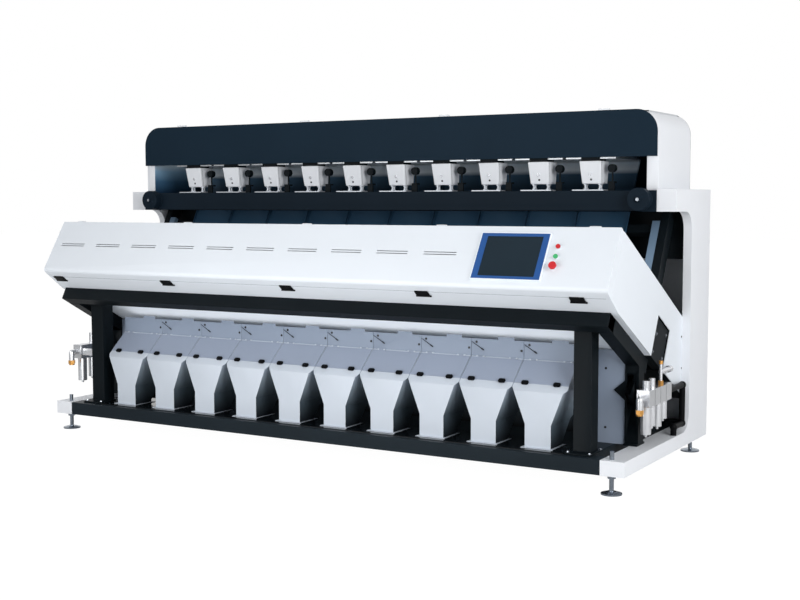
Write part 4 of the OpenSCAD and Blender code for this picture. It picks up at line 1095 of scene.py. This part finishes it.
@dataclass(frozen=True)
class Lamp:
    """A square area lamp, or a strip that is not seen.

    Args:
        name: Name of the lamp.
        place: Where it stands, in metres.
        target: What it points at, in metres.
        size: Side, or length of a strip, in metres.
        power: Power in watts.
        breadth: Breadth of a strip in metres, 0 for a square.
    """

    name: str
    place: Triple
    target: Triple
    size: float
    power: float
    breadth: float = 0.0

    def build(self) -> None:
        """Add the lamp to the scene."""
        data = bpy.data.lights.new(self.name, "AREA")
        data.energy = self.power
        data.size = self.size
        lamp = linked(self.name, data)
        lamp.location = self.place
        aim = Vector(self.target) - Vector(self.place)
        lamp.rotation_euler = aim.to_track_quat("-Z", "Y").to_euler()
        if self.breadth:
            data.shape = "RECTANGLE"
            data.size_y = self.breadth
            lamp.visible_camera = lamp.visible_glossy = False


LAMPS = (
    Lamp("key", (-2.4, -6.4, 2.3), (0.0, 0.0, 0.9), 3.8, 114.0),
    Lamp("fill", (6.6, -3.2, 2.5), (0.8, 0.0, 0.9), 4.0, 290.0),
    Lamp("top", (0.0, -0.6, 5.6), (0.0, 0.0, 0.0), 5.0, 30.0),
    Lamp("low", (0.0, -2.3, 0.05), (0.0, -0.3, 1.2), 2.6, 42.0),
    Lamp("back", (-3.6, 6.0, 3.2), (0.0, 0.4, 0.9), 4.0, 230.0),
    Lamp("under", (0.0, -0.47787, 0.75), (0.0, -0.47287, 0.9), 3.2, 0.85, 0.12),
    Lamp("inner", (0.0, -0.31587, 0.7), (0.0, -0.31087, 0.85), 3.2, 0.8, 0.07),
)


@dataclass
class Stage:
    """Floor, lights and camera.

    Args:
        frames: Local frames of the machine.
        lens: Focal length of the camera.
        eye: Place along the machine, depth and height of the camera.
        yaw: Turn of the camera to the left, in degrees.
        pitch: Turn of the camera down, in degrees.
        roll: Turn of the camera about its view, in degrees.
        ambient: Strength of the world's light on the object.
    """

    frames: Frames
    lens: float = 56.494
    eye: Triple = (4132.0, -5898.3, 1486.6)
    yaw: float = 30.491
    pitch: float = 4.53
    roll: float = 0.072
    ambient: float = 0.3

    def build(self) -> None:
        """Make the floor, the lights and the camera."""
        self._camera()
        self._world()
        self._floor()
        for lamp in LAMPS:
            lamp.build()
        bpy.context.scene.view_settings.view_transform = "Standard"

    def _camera(self) -> None:
        """Place the camera as the photograph was taken."""
        data = bpy.data.cameras.new("camera")
        data.lens = self.lens
        data.sensor_width = 36.0
        data.clip_end = 100.0
        cam = linked("camera", data)
        yaw, pitch = math.radians(self.yaw), math.radians(self.pitch)
        turn = (Matrix.Rotation(yaw, 4, "Z") @ Matrix.Rotation(math.pi / 2 - pitch, 4, "X")
                @ Matrix.Rotation(math.radians(-self.roll), 4, "Z"))
        x, depth, z = self.eye
        cam.matrix_world = Matrix.Translation(self.frames.at(x, depth, z)) @ turn
        bpy.context.scene.camera = cam

    def _world(self) -> None:
        """Plain soft light all round, white to the camera."""
        world = bpy.data.worlds.new("studio")
        bpy.context.scene.world = world
        world.use_nodes = True
        tree = world.node_tree
        rays = add(tree, "ShaderNodeLightPath", {}).outputs
        seen = rays["Is Camera Ray"]
        for kind in ("Is Glossy Ray", "Is Transmission Ray"):
            either = add(tree, "ShaderNodeMath", {0: seen, 1: rays[kind]}, operation="MAXIMUM")
            seen = either.outputs[0]
        level = add(tree, "ShaderNodeMapRange", {
            "Value": seen, "To Min": self.ambient, "To Max": 1.0})
        feed(tree, tree.nodes["Background"], {
            "Strength": level.outputs["Result"], "Color": (1.0, 1.0, 1.0, 1.0)})

    def _floor(self) -> None:
        """Pale floor that keeps a soft shadow and glows to the camera."""
        half, drop, grey, glow_share, strength = 40.0, 0.0005, 0.8, 0.88, 1.12
        work = bmesh.new()
        bmesh.ops.create_grid(work, x_segments=2, y_segments=2, size=half)
        mesh = to_mesh(work)
        floor = linked("floor", mesh)
        floor.location.z = -drop
        mat = bpy.data.materials.new("pale_floor")
        mat.use_nodes = True
        tree = mat.node_tree
        shader = tree.nodes["Principled BSDF"]
        feed(tree, shader, {
            "Base Color": (grey, grey, grey, 1.0),
            "Roughness": 0.9,
            "Specular IOR Level": 0.0,
        })
        glow = add(tree, "ShaderNodeEmission", {"Strength": strength})
        rays = add(tree, "ShaderNodeLightPath", {}).outputs
        share = add(tree, "ShaderNodeMath", {
            0: rays["Is Camera Ray"], 1: glow_share}, operation="MULTIPLY")
        mix = add(tree, "ShaderNodeMixShader", {
            0: share.outputs[0], 1: shader.outputs[0], 2: glow.outputs[0]})
        feed(tree, tree.nodes["Material Output"], {"Surface": mix.outputs[0]})
        mesh.materials.append(mat)


PLAIN: dict[str, Finish | ClearPane] = {
    "window_glasses": PANE,
    "optics_frames": BLACK,
    "led_bars": LAMP,
    "line_cameras": PLASTIC,
    "ejector_bar": STEEL,
    "vibrator_bases": PALE_ZINC,
    "deck_plate": DECK,
    "feed_bin": STEEL,
    "foot_studs": FOOT,
    "foot_pads": FOOT,
    "latch_mounts": PLASTIC,
    "air_bowls": BOWL,
    "air_fittings": BRASS,
    "air_pipes": PLASTIC,
    "regulator_knob": AIR_METAL,
    "stop_button": RED,
    "emergency_button": RED,
    "start_button": GREEN,
    "hinge_pins": WHITE,
    "touch_screen": SCREEN,
}

SOFT: dict[str, tuple[Finish, float]] = {
    "left_side_frame": (WHITE, 3.0),
    "right_side_frame": (WHITE, 3.0),
    "hood_shell": (WHITE, 1.5),
    "hood_panels": (NAVY, 1.2),
    "end_panels": (WHITE_SHEET, 1.0),
    "box_floor": (WHITE_SHEET, 0.6),
    "box_top": (WHITE, 0.6),
    "front_cover": (WHITE_SHEET, 0.8),
    "base_front_beam": (BASE_BLACK, 3.0),
    "base_members": (BASE_BLACK, 3.0),
    "front_posts": (BLACK, 3.0),
    "side_legs": (BLACK, 2.5),
    "box_beam": (BLACK, 3.0),
    "feeder_beam": (BEAM, 3.0),
    "rear_box": (BLACK, 0.8),
    "rear_cabinet": (BLACK, 3.0),
    "chute_arms": (BLACK, 2.0),
    "chutes": (CHUTE_PAINTED_LIGHT, 0.8),
    "hoppers": (HOPPER, 0.6),
    "vibrator_boxes": (WHITE, 4.0),
    "chute_rails": (RAIL, 1.0),
    "vibrator_arms": (BLACK, 1.5),
    "feeder_trays": (STEEL, 0.8),
    "air_units": (AIR_METAL, 2.5),
    "screen_bezel": (BEZEL, 2.5),
}


def paint_faces(skins: Skins, soft: dict[str, Object], frames: Frames) -> None:
    """Give some faces of the skins another finish: painted shade on the hoppers' inner sides,
    backs, head walls and end plates, painted shade and reflection on the hood's inner end faces,
    painted light on the box floor's underside and on the inside of the rear sheet, white on the
    screen bezel's sides and black on the chute rails' cross members.

    A face is chosen by its place, in metres, and by the parts of its normal along the axes.

    Args:
        skins: Tool that paints.
        soft: Skins by the names of their nodes.
        frames: Local frames of the machine.
    """
    spouts_end, trough_end, plates_end, arms_inside, hood_inside = 1.585, 1.595, 1.61, 1.7, 1.776
    spouts_top, strip_low, sheet_top = 0.6, 0.63, 1.149
    near_wall, near_hood, trough_depth = 0.004, 0.003, 300.0
    square, facing, sideways, backwards, floor_down = 0.9, 0.5, 0.35, 0.3, 0.84
    wall = frames.at(0.0, frames.wall, 0.0).y
    trough = frames.at(0.0, trough_depth, 0.0).y
    ahead = frames.face_matrix(0.0, 0.0).to_3x3() @ Vector((0, 0, 1))
    low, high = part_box("screen_bezel")
    rim = (low + high) / 2
    hoppers = soft["hoppers"]
    # Painted shade on the hoppers' inner side walls, back slopes and trough, but not on the outer
    # ends.
    skins.paint(hoppers, HOPPER_PAINTED_SHADE, lambda c, n: abs(c.x) < spouts_end and c.z < spouts_top
                and (abs(n.x) > sideways or n.y > backwards))
    skins.paint(hoppers, HOPPER_PAINTED_SHADE, lambda c, n: abs(c.x) < trough_end and c.y > trough)
    # Painted shade on the head walls and end plates.
    skins.paint(hoppers, HEAD_WALL_PAINTED_SHADE, lambda c, n: abs(n.y) > square and (
        c.z > strip_low and abs(c.y - wall) < near_wall or abs(c.x) > plates_end))
    skins.paint(soft["chute_rails"], BLACK, lambda c, n: abs(c.x) < arms_inside)
    # Painted shade and reflection on the hood's inner end faces.
    skins.paint(soft["hood_shell"], HOOD_SIDE_PAINTED_LIGHT,
                lambda c, n: abs(n.x) > square and abs(abs(c.x) - hood_inside) < near_hood)
    skins.paint(soft["screen_bezel"], WHITE,
                lambda c, n: n.dot(ahead) < facing and n.dot(c - rim) > 0)
    # Painted light on the underside of the box floor.
    skins.paint(soft["box_floor"], BRIGHT_WHITE_AND_PAINTED_LIGHT, lambda c, n: n.z < -floor_down)
    # Painted light: the inner face of the rear sheet is white, standing in for the bright
    # background seen through the back.
    skins.paint(soft["rear_cabinet"], WHITE_SHEET,
                lambda c, n: n.y < -facing and c.z < sheet_top)


def main() -> None:
    """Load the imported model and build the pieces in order."""
    logging.basicConfig(level=logging.INFO, format="%(name)s: %(message)s")
    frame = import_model()
    frames = Frames()
    bodies = frame["record"]["behaviour"]["bodies"]
    owners = {node: body for body, members in bodies.items() for node in members}
    skins = Skins(frame["nodes"], owners)
    Stage(frames).build()
    for node, finish in PLAIN.items():
        skins.dress(node, finish)
    soft = {node: skins.soften(node, finish, width) for node, (finish, width) in SOFT.items()}
    paint_faces(skins, soft, frames)
    for node in owners:
        if node.startswith("hopper_door"):
            door = skins.soften(node, DOOR, DOOR_EDGE)
            skins.flatten(door, frames.slope_matrix(0.0, 0.0), DOOR_LEVEL)
        if node.startswith("cover_latch"):
            skins.soften(node, PLASTIC, LATCH_EDGE)
    for details in (HopperDetails, FeederDetails, FrameDetails, RearDetails):
        details(frames).build()


if __name__ == "__main__":
    main()
